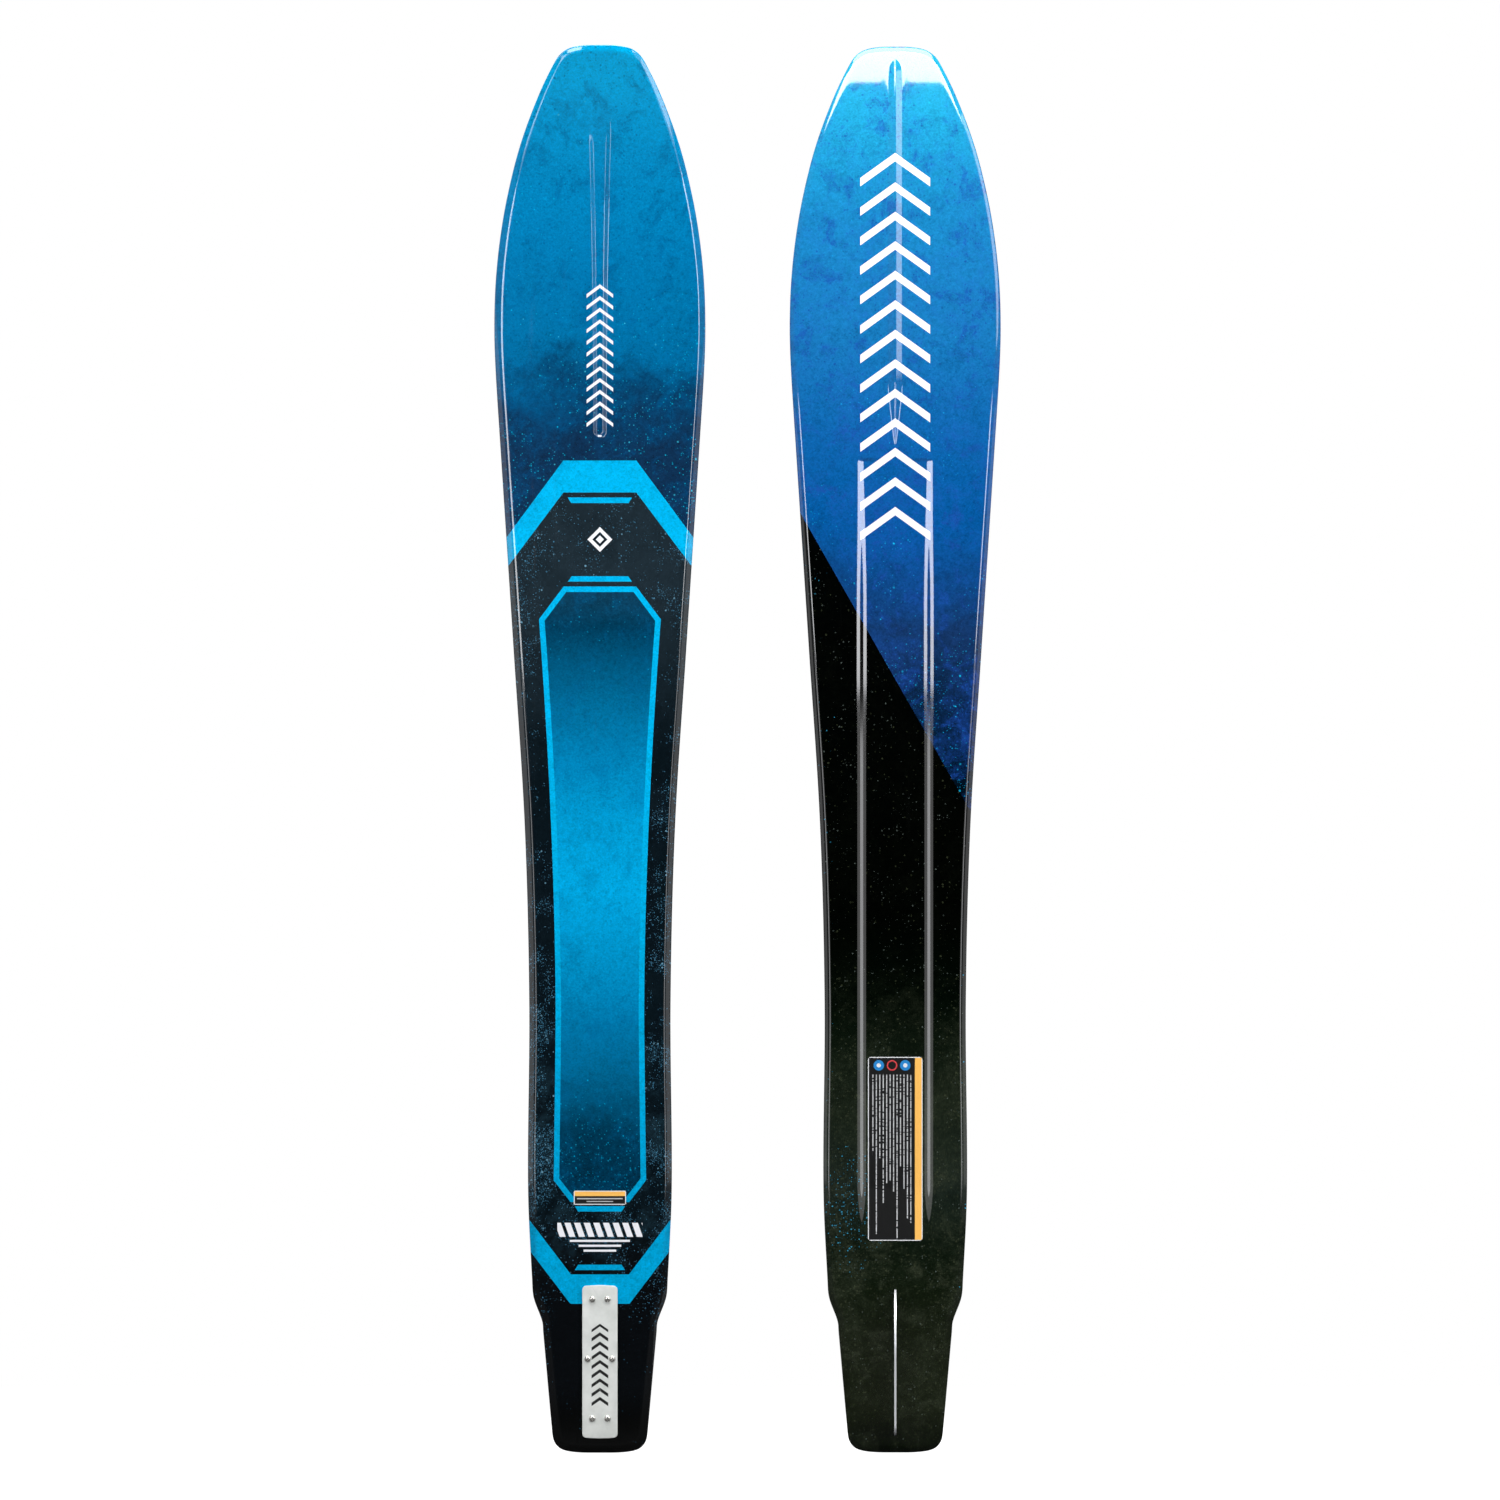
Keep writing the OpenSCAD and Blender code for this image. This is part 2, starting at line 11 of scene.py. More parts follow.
import bpy
import numpy as np
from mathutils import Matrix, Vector


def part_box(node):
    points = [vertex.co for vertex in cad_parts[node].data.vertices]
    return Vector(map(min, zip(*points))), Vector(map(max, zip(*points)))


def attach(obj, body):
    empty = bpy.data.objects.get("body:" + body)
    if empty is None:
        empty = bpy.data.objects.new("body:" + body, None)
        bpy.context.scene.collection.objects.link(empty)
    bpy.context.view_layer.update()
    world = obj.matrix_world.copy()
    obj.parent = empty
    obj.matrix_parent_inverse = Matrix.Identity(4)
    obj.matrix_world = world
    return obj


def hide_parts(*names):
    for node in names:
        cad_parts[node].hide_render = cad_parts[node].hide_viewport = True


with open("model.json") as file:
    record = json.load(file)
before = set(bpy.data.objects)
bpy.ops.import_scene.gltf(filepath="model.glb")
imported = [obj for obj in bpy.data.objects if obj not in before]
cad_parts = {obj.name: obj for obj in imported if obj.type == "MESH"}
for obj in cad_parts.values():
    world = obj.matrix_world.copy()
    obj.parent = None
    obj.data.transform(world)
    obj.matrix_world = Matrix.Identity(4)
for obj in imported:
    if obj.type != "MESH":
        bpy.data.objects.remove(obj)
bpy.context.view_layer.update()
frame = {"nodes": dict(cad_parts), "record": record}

MM = 0.001


def cad_mm(node):
    """Lowest and highest corner of a CAD node, in millimetres."""
    low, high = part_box(node)
    return np.array(low) / MM, np.array(high) / MM


# ---------- sizes, as in the CAD source ----------

SHEET_LOW, SHEET_HIGH = cad_mm("left_top_sheet")
LENGTH = SHEET_HIGH[2] - SHEET_LOW[2]
SPACING = abs(SHEET_LOW[0] + SHEET_HIGH[0])
WIDEST = (SHEET_HIGH[0] - SHEET_LOW[0]) / 2
MID_T, TIP_T = 22.0, 9.0
CURVE_START, LONG_RISE = 1040.0, 72.0
KICK_START, KICK_RISE = 1560.0, 28.0
ROCKER_START, ROCKER_RISE = 250.0, 8.0
DECK_BEVEL, DECK_SHARE = 7.3, 0.3
BASE_BEVEL, BASE_SHARE = 6.0, 0.22
TUNNEL_OUTER, TUNNEL_INNER, TUNNEL_DEPTH = 46.7, 37.0, 3.2
TUNNEL_Z0, TUNNEL_Z1, TUNNEL_FADE = 250.0, 1240.0, 80.0
KEEL_HALF, KEEL_H = 8.5, 3.6
KEEL_Z0, KEEL_Z1, KEEL_FADE, KEEL_NOSE = 1253.0, 1738.0, 80.0, 16.0
CHANNEL_Z0, CHANNEL_Z1, CHANNEL_FADE = 1265.0, 1715.0, 95.0
CHANNEL_DEPTH, CHANNEL_W0, CHANNEL_W1, CHANNEL_FLOOR = 2.5, 7.4, 16.6, 0.58
SHEET_T, SHELL_T = 0.6, 2.2
TAIL_R, TIP_R, BOW, BOW_SHARE = 20.0, 16.0, 1.4, 0.45
OUTLINE = np.array([
    (0, 57), (20, 59), (150, 70.6), (164, 72), (193, 82.4), (214, 84.4), (330, 89.5), (560, 88),
    (780, 93.6), (1000, 107.5), (1260, 124.4), (1350, 130), (1400, WIDEST), (1455, 130),
    (1510, 124.6), (1566, 115), (1629, 99), (1691, 76), (LENGTH - 19, 55), (LENGTH, 42.7),
])


def clamp01(t):
    return np.clip(t, 0, 1)


def ease(t):
    t = clamp01(t)
    return t * t * (3 - 2 * t)


def soft_ramp(u, e):
    """0 below 0 and 1 above 1, straight between, with rounded corners of half width e."""
    def knee(v):
        return np.where(v < -e, 0, np.where(v > e, v, (v + e) ** 2 / (4 * e)))
    return knee(u) - knee(u - 1)


def through(z):
    """Smooth curve through the outline's half widths."""
    zs, ws = OUTLINE.T
    n = len(zs)
    before, after = np.maximum(np.arange(n) - 1, 0), np.minimum(np.arange(n) + 1, n - 1)
    slope = (ws[after] - ws[before]) / (zs[after] - zs[before])
    i = np.clip(np.searchsorted(zs, z, side="right") - 1, 0, n - 2)
    step = zs[i + 1] - zs[i]
    t = clamp01((z - zs[i]) / step)
    u = 1 - t
    return (u * u * (1 + 2 * t) * ws[i] + t * t * (3 - 2 * t) * ws[i + 1]
            + step * t * u * (u * slope[i] - t * slope[i + 1]))


def half_width(z):
    def corner(d, r):
        left = r - np.maximum(d, BOW)
        cut = r - np.sqrt(np.maximum(0, r * r - (left * r / (r - BOW)) ** 2))
        return np.where(left <= 0, 0, cut)
    d = np.minimum(z, LENGTH - z)
    bow = np.where(d >= BOW, 1, BOW_SHARE + (1 - BOW_SHARE) * np.sqrt(np.maximum(d, 0) / BOW))
    return bow * (through(z) - corner(z, TAIL_R) - corner(LENGTH - z, TIP_R))


def base_h(z):
    rise = LONG_RISE * (np.maximum(0, z - CURVE_START) / (LENGTH - CURVE_START)) ** 2
    kick = KICK_RISE * (np.maximum(0, z - KICK_START) / (LENGTH - KICK_START)) ** 2
    rocker = ROCKER_RISE * (np.maximum(0, ROCKER_START - z) / ROCKER_START) ** 2
    return rise + kick + rocker


def deck_h(z):
    taper = (MID_T - TIP_T) * ease((z - CURVE_START) / (LENGTH - CURVE_START))
    return np.where(z > CURVE_START, base_h(z) + MID_T - taper, MID_T)


def parting_h(z):
    return (deck_h(z) + base_h(z)) / 2


def channel_half(z):
    up = clamp01((z - CHANNEL_Z0) / (CHANNEL_Z1 - CHANNEL_Z0))
    return CHANNEL_W0 + (CHANNEL_W1 - CHANNEL_W0) * up ** 2.2


def channel_depth(x, z, soft):
    """Depth of the deck channel, which has a round closed end at the foot."""
    outer = channel_half(z)
    below = np.maximum(0, CHANNEL_Z0 + outer - z)
    reach = np.hypot(x, below)
    wall = (outer - reach) / (outer * (1 - CHANNEL_FLOOR))
    fade = clamp01((CHANNEL_Z1 - z) / CHANNEL_FADE)
    return CHANNEL_DEPTH * ease(fade) * soft_ramp(wall, soft)


def tunnel_depth(x, z, soft):
    """Depth of the tunnel: its walls start at once at the tip end, and its floor sinks slowly."""
    slow = ease((TUNNEL_Z1 - z) / 190)
    start = 0.55 * ease((TUNNEL_Z1 - z) / 5)
    near_wall = clamp01(abs(x) / TUNNEL_INNER) ** 1.3
    lead = slow + (1 - slow) * start * near_wall
    tail = clamp01((z - TUNNEL_Z0) / TUNNEL_FADE)
    inner = TUNNEL_INNER + 2.6 * (1 - ease((TUNNEL_Z1 - z) / 120))
    wall = (TUNNEL_OUTER - abs(x)) / (TUNNEL_OUTER - inner)
    return TUNNEL_DEPTH * lead * tail * soft_ramp(wall, 3.1 * soft)


def keel_height(x, z, soft):
    """Height of the V keel, which is pointed at both ends."""
    low = clamp01((z - KEEL_Z0) / KEEL_FADE)
    nose = 1 - (1 - clamp01((KEEL_Z1 - z) / KEEL_NOSE)) ** 2
    side = np.maximum(0.2, KEEL_HALF * low * nose)
    crest = np.sqrt(x * x + 0.8 ** 2) - 0.8
    return KEEL_H * low * nose * soft_ramp(1 - crest / side, 0.4 * soft) * (low > 0)


# ---------- meshes ----------

def spans(edges):
    """Heights along the ski, from rows of (end, step): each step applies up to its end."""
    z, out = 26.0, []
    for end, step in edges:
        while z < end - step / 2:
            out.append(z)
            z += step
    return out


def half_outline():
    """Outline from the middle of the tail end, up the right side, to the middle of the tip end."""
    near = [0.0, 0.05, 0.15, 0.3, 0.5, 0.75, 1.05, 1.4, 2, 2.8, 3.7, 4.7, 5.8, 7, 8.4, 10, 12,
            14, 16, 18, 20, 23]
    body = spans([(138, 4.5), (222, 2.5), (238, 4), (266, 2), (1228, 4.6), (1250, 1.1), (1262, 3),
                  (1290, 1.1), (1500, 4), (LENGTH - 60, 3), (LENGTH - 24, 2)])
    z = np.array(near + body + [LENGTH - d for d in reversed(near)])
    side = np.column_stack([half_width(z), z])
    tail = np.column_stack([np.linspace(0, side[0, 0], 10)[:-1], np.zeros(9)])
    tip = np.column_stack([np.linspace(side[-1, 0], 0, 9)[1:], np.full(8, LENGTH)])
    points = np.vstack([tail, side, tip])
    for _ in range(6):
        inner = (points[:-2] + 2 * points[1:-1] + points[2:]) / 4
        ends = (points[1:-1, 1] < 24) | (points[1:-1, 1] > LENGTH - 24)
        points[1:-1][ends] = inner[ends]
    return points


HALF = half_outline()


def inset(points, d):
    """The outline moved inwards by d."""
    tangent = np.gradient(points, axis=0)
    tangent /= np.linalg.norm(tangent, axis=1)[:, None]
    tangent[0], tangent[-1] = (1, 0), (-1, 0)
    return points + d * np.column_stack([-tangent[:, 1], tangent[:, 0]])


INSET = 12.0
SPINE_LOW, SPINE_HIGH = 16.0, LENGTH - 16.0


def bevel_columns(corners, cuts):
    """Rings of (d, h) round the edge. corners is a list of (d, h along the outline), each corner but
    the ends rounded by a curve that starts at its cut length."""
    rings = [corners[0]]
    for k in range(1, len(corners) - 1):
        d, h = corners[k]
        if not cuts[k]:
            rings.append((d, h))
            continue
        ends = []
        for other in (corners[k - 1], corners[k + 1]):
            dd, dh = other[0] - d, other[1] - h
            length = np.sqrt(dd * dd + dh * dh)
            share = np.minimum(cuts[k] / length, 0.45)
            ends.append((d + dd * share, h + dh * share))
        (d0, h0), (d1, h1) = ends
        for s in np.linspace(0, 1, 6):
            a, b, c = (1 - s) ** 2, 2 * s * (1 - s), s * s
            rings.append((a * d0 + b * d + c * d1, a * h0 + b * h + c * h1))
    return rings + [corners[-1]]


def edge_rings(deck, depth, cuts):
    """Rings from the parting line over the bevel to the inset curve, depth below the surface."""
    z = HALF[:, 1]
    surface = deck_h(z) if deck else base_h(z)
    share, width, sign = (DECK_SHARE, DECK_BEVEL, 1) if deck else (BASE_SHARE, BASE_BEVEL, -1)
    thick = deck_h(z) - base_h(z)
    drop = share * thick - 0.6 * depth
    zero = np.zeros_like(z)
    top = surface - sign * depth
    corners = [(zero + depth + (0 if depth else 0.3), parting_h(z))]
    if not depth:
        corners.append((zero, parting_h(z) + sign * 0.5))
    corners += [(zero + depth, top - sign * drop), (zero + width + 0.4 * depth, top), (zero + INSET, top)]
    rings = []
    for d, h in bevel_columns(corners, cuts):
        pos = HALF + (inset(HALF, 1) - HALF) * np.asarray(d)[:, None]
        # the surface height changes along the ski, so it is read again where the ring lies
        there = (deck_h(pos[:, 1]) if deck else base_h(pos[:, 1])) - surface
        rings.append(np.column_stack([pos[:, 0], h + there * (np.asarray(d) > 0.6), pos[:, 1]]))
    return rings


def inner_columns(features, height):
    """Columns from the inset curve to the ski's centreline. features gives the distances from the
    centreline for an array of heights z."""
    q = inset(HALF, INSET)
    spine = np.column_stack([np.zeros(len(q)), np.clip(q[:, 1], SPINE_LOW, SPINE_HIGH)])
    reach = np.linalg.norm(q - spine, axis=1)
    wanted = features(q[:, 1])
    widest = wanted.max(axis=1)
    share = wanted * np.minimum(1, 0.93 * reach / widest)[:, None] / reach[:, None]
    columns = []
    for f in share.T[::-1]:
        pos = spine + (q - spine) * f[:, None]
        columns.append(np.column_stack([pos[:, 0], height(pos[:, 0], pos[:, 1]), pos[:, 1]]))
    return columns


def spread(lows_highs, counts):
    """Distances in bands: each (low, high) pair is filled evenly with its count of points."""
    def at(z):
        columns = [np.zeros_like(z)]
        for (low, high), n in zip(lows_highs, counts):
            a, b = (edge(z) if callable(edge) else edge + 0 * z for edge in (low, high))
            columns += [a + (b - a) * s for s in np.linspace(0, 1, n + 1)[1:]]
        return np.column_stack(columns)
    return at


def deck_features(detail):
    floor = lambda z: CHANNEL_FLOOR * channel_half(z)
    if not detail:
        return spread([(0, floor), (floor, channel_half), (channel_half, 40)], [1, 1, 1])
    return spread(
        [(0, lambda z: floor(z) - 1.0), (lambda z: floor(z) - 1.0, lambda z: floor(z) + 1.0),
         (lambda z: floor(z) + 1.0, lambda z: channel_half(z) - 1.0),
         (lambda z: channel_half(z) - 1.0, lambda z: channel_half(z) + 1.0),
         (lambda z: channel_half(z) + 1.0, 60)], [2, 4, 2, 4, 3])


def base_features(detail):
    if not detail:
        return spread([(0, KEEL_HALF), (KEEL_HALF, TUNNEL_INNER), (TUNNEL_INNER, TUNNEL_OUTER)], [2, 1, 1])
    return spread([(0, 1.5), (1.5, KEEL_HALF + 1), (KEEL_HALF + 1, 31.5), (31.5, 52.2)], [3, 6, 4, 21])


def merged(rows_list, close):
    """One closed mesh from grids of points; each grid is a list of rings of equal length."""
    points = np.vstack([np.vstack(rings) for rings in rows_list])
    quads, start = [], 0
    for rings in rows_list:
        n, m = len(rings[0]), len(rings)
        i, j = np.meshgrid(np.arange(m - 1), np.arange(n - 1), indexing="ij")
        a = start + i * n + j
        quads.append(np.stack([a, a + 1, a + n + 1, a + n], axis=-1).reshape(-1, 4))
        start += n * m
    quads += close(rows_list)
    faces = np.vstack(quads)
    keys = np.round(points, 5)
    _, first, same = np.unique(keys, axis=0, return_index=True, return_inverse=True)
    same = same.reshape(-1)
    out = []
    for face in same[faces]:
        ring = [v for k, v in enumerate(face) if v != face[k - 1]]
        if len(set(ring)) == len(ring) and len(ring) > 2:
            out.append(ring)
    return points[first], out


def shell(deck, top, foot, fine):
    """Layer between two depths below the surface, as points in ski coordinates and faces."""
    def height(depth, soft):
        def deck_at(x, z):
            return deck_h(z) - depth - channel_depth(x, z, soft)

        def base_at(x, z):
            return base_h(z) + depth + tunnel_depth(x, z, soft) - keel_height(x, z, soft)
        return deck_at if deck else base_at

    features = deck_features if deck else base_features
    cuts = [0, 0.3, 1.6 if deck else 1.4, 3.0, 0] if fine else [0, 0, 0, 0]
    outer = edge_rings(deck, top, cuts) + inner_columns(features(fine), height(top, 0.16 if fine else 0.02))
    inner = edge_rings(deck, foot, [0, 0, 0, 0]) + inner_columns(features(False), height(foot, 0.02))
    left_outer = [ring * (-1, 1, 1) for ring in outer]
    left_inner = [ring * (-1, 1, 1) for ring in inner]

    def close(rows_list):
        sizes = [len(r) * len(r[0]) for r in rows_list]
        starts = np.concatenate([[0], np.cumsum(sizes)])
        j = np.arange(len(rows_list[0][0]) - 1)
        return [np.stack([starts[o] + j, starts[o] + j + 1, starts[i] + j + 1, starts[i] + j], axis=-1)
                for o, i in ((0, 2), (1, 3))]
    return merged([outer, left_outer, inner, left_inner], close)


class Side:
    """One ski's place: its name, where its centre is, and the way its deck faces along Y."""

    def __init__(self, name):
        self.name = name
        low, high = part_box(f"{name}_top_sheet")
        self.centre = (low.x + high.x) / 2
        self.deck = -1 if name == "left" else 1

    def world(self, points):
        x, h, z = np.asarray(points, float).T * MM
        return np.column_stack([self.centre - self.deck * x, self.deck * h, z])

    def body(self, part):
        return f"{self.name}_{part}"


def make_mesh(name, points, faces):
    mesh = bpy.data.meshes.new(name)
    mesh.from_pydata([tuple(p) for p in points], [], faces)
    mesh.validate()
    obj = bpy.data.objects.new(name, mesh)
    bpy.context.scene.collection.objects.link(obj)
    bpy.context.view_layer.objects.active = obj
    bpy.ops.object.select_all(action="DESELECT")
    obj.select_set(True)
    bpy.ops.object.mode_set(mode="EDIT")
    bpy.ops.mesh.select_all(action="SELECT")
    bpy.ops.mesh.normals_make_consistent(inside=False)
    bpy.ops.object.mode_set(mode="OBJECT")
    return obj


def finish_piece(obj, material, body, node):
    """Gives a finished mesh its look and the body it rides, and hides the CAD node it stands for."""
    obj.data.materials.clear()
    obj.data.materials.append(material)
    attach(obj, body)
    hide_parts(node)


def smooth(obj, degrees):
    obj.data.shade_smooth()
    obj.data.set_sharp_from_angle(angle=math.radians(degrees))


def cut(obj, cutter):
    """Takes the closed mesh cutter away from obj."""
    change = obj.modifiers.new("cut", "BOOLEAN")
    change.operation = "DIFFERENCE"
    change.solver = "EXACT"
    change.object = cutter
    bpy.context.view_layer.objects.active = obj
    bpy.ops.object.modifier_apply(modifier=change.name)
    bpy.data.objects.remove(cutter)


def prism(outlines, h0, h1):
    """Closed upright prisms over several (x, z) outlines."""
    points, faces = [], []
    for outline in outlines:
        n, k = len(outline), len(points)
        points += [(x, h, z) for h in (h0, h1) for x, z in outline]
        faces += [list(range(k, k + n)), list(range(k + 2 * n - 1, k + n - 1, -1))]
        faces += [[k + i, k + (i + 1) % n, k + n + (i + 1) % n, k + n + i] for i in range(n)]
    return points, faces


def circle(x, z, r, n=24):
    return [(x + r * math.cos(2 * math.pi * i / n), z + r * math.sin(2 * math.pi * i / n)) for i in range(n)]


def rounded_rect(x0, x1, z0, z1, r, n=6):
    out = []
    corners = ((x1 - r, z1 - r, 0), (x0 + r, z1 - r, 90), (x0 + r, z0 + r, 180), (x1 - r, z0 + r, 270))
    for cx, cz, start in corners:
        for i in range(n + 1):
            a = math.radians(start + 90 * i / n)
            out.append((cx + r * math.cos(a), cz + r * math.sin(a)))
    return out


# ---------- node graphs written as arithmetic ----------

class Value:
    """A number or vector socket of a material, with arithmetic."""

    def __init__(self, graph, socket):
        self.graph, self.socket = graph, socket

    def _math(self, kind, *others):
        return self.graph.math(kind, self, *others)

    def __add__(self, o): return self._math("ADD", o)
    def __radd__(self, o): return self._math("ADD", o)
    def __sub__(self, o): return self._math("SUBTRACT", o)
    def __rsub__(self, o): return self.graph.math("SUBTRACT", o, self)
    def __mul__(self, o): return self._math("MULTIPLY", o)
    def __rmul__(self, o): return self._math("MULTIPLY", o)
    def __truediv__(self, o): return self._math("DIVIDE", o)
    def __neg__(self): return self._math("MULTIPLY", -1)
    def __abs__(self): return self._math("ABSOLUTE")
    def low(self, o): return self._math("MINIMUM", o)
    def high(self, o): return self._math("MAXIMUM", o)
    def power(self, o): return self._math("POWER", o)
    def root(self): return self._math("SQRT")

    def ramp(self, start, end, out0=0.0, out1=1.0, kind="SMOOTHSTEP"):
        node = self.graph.nodes.new("ShaderNodeMapRange")
        node.interpolation_type = kind
        node.clamp = True
        for name, value in zip(("Value", "From Min", "From Max", "To Min", "To Max"),
                               (self, start, end, out0, out1)):
            self.graph.put(node.inputs[name], value)
        return Value(self.graph, node.outputs["Result"])

    def above(self, edge, soft=0.25):
        """1 where the value is over edge, with an edge soft millimetres wide."""
        return ((self - edge) / soft + 0.5).low(1).high(0)

    def below(self, edge, soft=0.25):
        return 1 - self.above(edge, soft)


class Graph:
    """A material's node tree, with the ski's own x and z in millimetres as values."""

    def __init__(self, name, side=None):
        self.material = bpy.data.materials.new(name)
        self.material.use_nodes = True
        self.tree = self.material.node_tree
        self.nodes = self.tree.nodes
        self.nodes.clear()
        self.out = self.nodes.new("ShaderNodeOutputMaterial")
        self.shader = self.nodes.new("ShaderNodeBsdfPrincipled")
        self.tree.links.new(self.shader.outputs["BSDF"], self.out.inputs["Surface"])
        coords = self.nodes.new("ShaderNodeTexCoord")
        scaled = self.nodes.new("ShaderNodeVectorMath")
        scaled.operation = "MULTIPLY_ADD"
        self.tree.links.new(coords.outputs["Object"], scaled.inputs[0])
        flip = -side.deck if side else 1
        scaled.inputs[1].default_value = (flip / MM, 1 / MM, 1 / MM)
        scaled.inputs[2].default_value = (-flip * (side.centre if side else 0) / MM, 0, 0)
        self.position = scaled.outputs["Vector"]
        parts = self.nodes.new("ShaderNodeSeparateXYZ")
        self.tree.links.new(self.position, parts.inputs[0])
        self.x, self.y, self.z = (Value(self, parts.outputs[i]) for i in range(3))

    def put(self, socket, value):
        if isinstance(value, Value):
            self.tree.links.new(value.socket, socket)
        elif isinstance(value, bpy.types.NodeSocket):
            self.tree.links.new(value, socket)
        elif isinstance(value, (tuple, list)) and len(value) == 3 and socket.type == "RGBA":
            socket.default_value = (*value, 1)
        else:
            socket.default_value = value

    def math(self, kind, *values):
        node = self.nodes.new("ShaderNodeMath")
        node.operation = kind
        for socket, value in zip(node.inputs, values):
            self.put(socket, value)
        return Value(self, node.outputs[0])

    def flat(self, stretch=(1, 1), turn=0.0, shift=0.0):
        """Position on the ski's face as a vector, scaled by stretch along x and z."""
        node = self.nodes.new("ShaderNodeCombineXYZ")
        c, s = math.cos(turn), math.sin(turn)
        self.put(node.inputs[0], (self.x * c + self.z * s) * stretch[0] + shift)
        self.put(node.inputs[1], (self.z * c - self.x * s) * stretch[1])
        node.inputs[2].default_value = shift
        return node.outputs[0]

    def noise(self, size, detail=4.0, rough=0.55, vector=None, twist=0.0, shift=0.0):
        """Noise from 0 to 1 with features about size millimetres wide."""
        node = self.nodes.new("ShaderNodeTexNoise")
        self.put(node.inputs["Vector"], vector or self.flat(shift=shift))
        node.inputs["Scale"].default_value = 1 / size
        node.inputs["Detail"].default_value = detail
        node.inputs["Roughness"].default_value = rough
        node.inputs["Distortion"].default_value = twist
        return Value(self, node.outputs["Fac"])

    def specks(self, cell, radius, share, shift=0.0):
        """Round dots in a share of the cells, each with its own size and strength."""
        node = self.nodes.new("ShaderNodeTexVoronoi")
        node.voronoi_dimensions = "2D"
        self.put(node.inputs["Vector"], self.flat(shift=shift))
        node.inputs["Scale"].default_value = 1 / cell
        parts = self.nodes.new("ShaderNodeSeparateColor")
        self.tree.links.new(node.outputs["Color"], parts.inputs[0])
        chance, size, strength = (Value(self, parts.outputs[i]) for i in range(3))
        distance = Value(self, node.outputs["Distance"]) * cell
        reach = size.power(3) * radius + radius * 0.3
        dot = ((reach - distance) / 0.45).low(1).high(0)
        return dot * (share - chance).ramp(0, 0.02) * (strength * 0.7 + 0.3)

    def mix(self, a, b, mask):
        node = self.nodes.new("ShaderNodeMix")
        node.data_type = "RGBA"
        # a mix node keeps its colour sockets after those for numbers and vectors
        for socket, value in ((node.inputs["Factor"], mask), (node.inputs[6], a), (node.inputs[7], b)):
            self.put(socket, value)
        return node.outputs[2]

    def scale(self, colour, factor):
        node = self.nodes.new("ShaderNodeVectorMath")
        node.operation = "SCALE"
        self.put(node.inputs[0], colour)
        self.put(node.inputs["Scale"], factor)
        return node.outputs[0]

    def gradient(self, value, stops):
        """Colours by value; stops are (value, colour) in rising order."""
        low, high = stops[0][0], stops[-1][0]
        node = self.nodes.new("ShaderNodeValToRGB")
        self.put(node.inputs[0], (value - low) / (high - low))
        ramp = node.color_ramp
        for k, (at, colour) in enumerate(stops):
            place = (at - low) / (high - low)
            stop = ramp.elements[k] if k < 1 else (
                ramp.elements[-1] if k == len(stops) - 1 and len(ramp.elements) == len(stops)
                else ramp.elements.new(place))
            stop.position = place
            stop.color = (*colour, 1)
        return node.outputs[0]

    def bump(self, height, strength=1.0, distance=MM, below=None):
        node = self.nodes.new("ShaderNodeBump")
        node.inputs["Strength"].default_value = strength
        node.inputs["Distance"].default_value = distance
        self.put(node.inputs["Height"], height)
        if below is not None:
            self.tree.links.new(below, node.inputs["Normal"])
        return node.outputs[0]

    def finish(self, **inputs):
        for name, value in inputs.items():
            self.put(self.shader.inputs[name.replace("_", " ")], value)
        return self.material


def srgb(r, g, b):
    """Linear colour from 8-bit display values."""
    def line(v):
        v /= 255
        return v / 12.92 if v <= 0.04045 else ((v + 0.055) / 1.055) ** 2.4
    return line(r), line(g), line(b)


# ---------- printed sheets ----------

def grunge(g, shift):
    """Cloudy print texture: a brightness factor about 1, and a mask of dark smudges."""
    cloud = g.noise(70, 3, 0.6, shift=shift, twist=0.4)
    plaster = g.noise(18, 9, 0.80, shift=shift + 3, twist=0.5)
    crumb = g.noise(5.5, 5, 0.78, shift=shift + 6, twist=0.4)
    veins = 1 - abs(g.noise(9, 8, 0.74, shift=shift + 5, twist=1.0) - 0.5) * 6
    grain = g.noise(2.4, 2, 0.7, shift=shift + 9)
    blots = g.noise(34, 5, 0.7, shift=shift + 2, twist=0.6).ramp(0.50, 0.66)
    patches = ((cloud + plaster * 0.6).ramp(0.66, 0.98) * 0.5 + blots * 0.7).low(1)
    pits = g.specks(3.2, 1.4, patches * 0.7 + 0.04, shift + 12)
    smudge = (veins.high(0) * 0.8 + (plaster - 0.5).high(0) * 3.0 + (crumb - 0.48).high(0) * 4.0) * patches
    light = (plaster - 0.5) * 0.8 + (cloud - 0.5) * 0.4 + (crumb - 0.5) * 1.0 + (grain - 0.5) * 0.8 + 1
    return light.high(0.2), (smudge + pits * 0.8).low(1), cloud, plaster


WHITE = srgb(244, 244, 248)
BAND_CYAN = srgb(0, 178, 232)


def strip(g, half_top, half_low, z_top, z_low):
    """Mask of a short bar whose ends slope: half widths at its top and foot."""
    share = (g.z - z_low) / (z_top - z_low)
    reach = share * (half_top - half_low) + half_low
    return g.z.above(z_low) * g.z.below(z_top) * (abs(g.x) - reach).below(0)


def chevron_edge(g, flat_z, half_flat, slope):
    """Height over a line that is flat across the middle and falls or rises at slope beyond it."""
    return g.z - flat_z + (abs(g.x) - half_flat).high(0) * slope


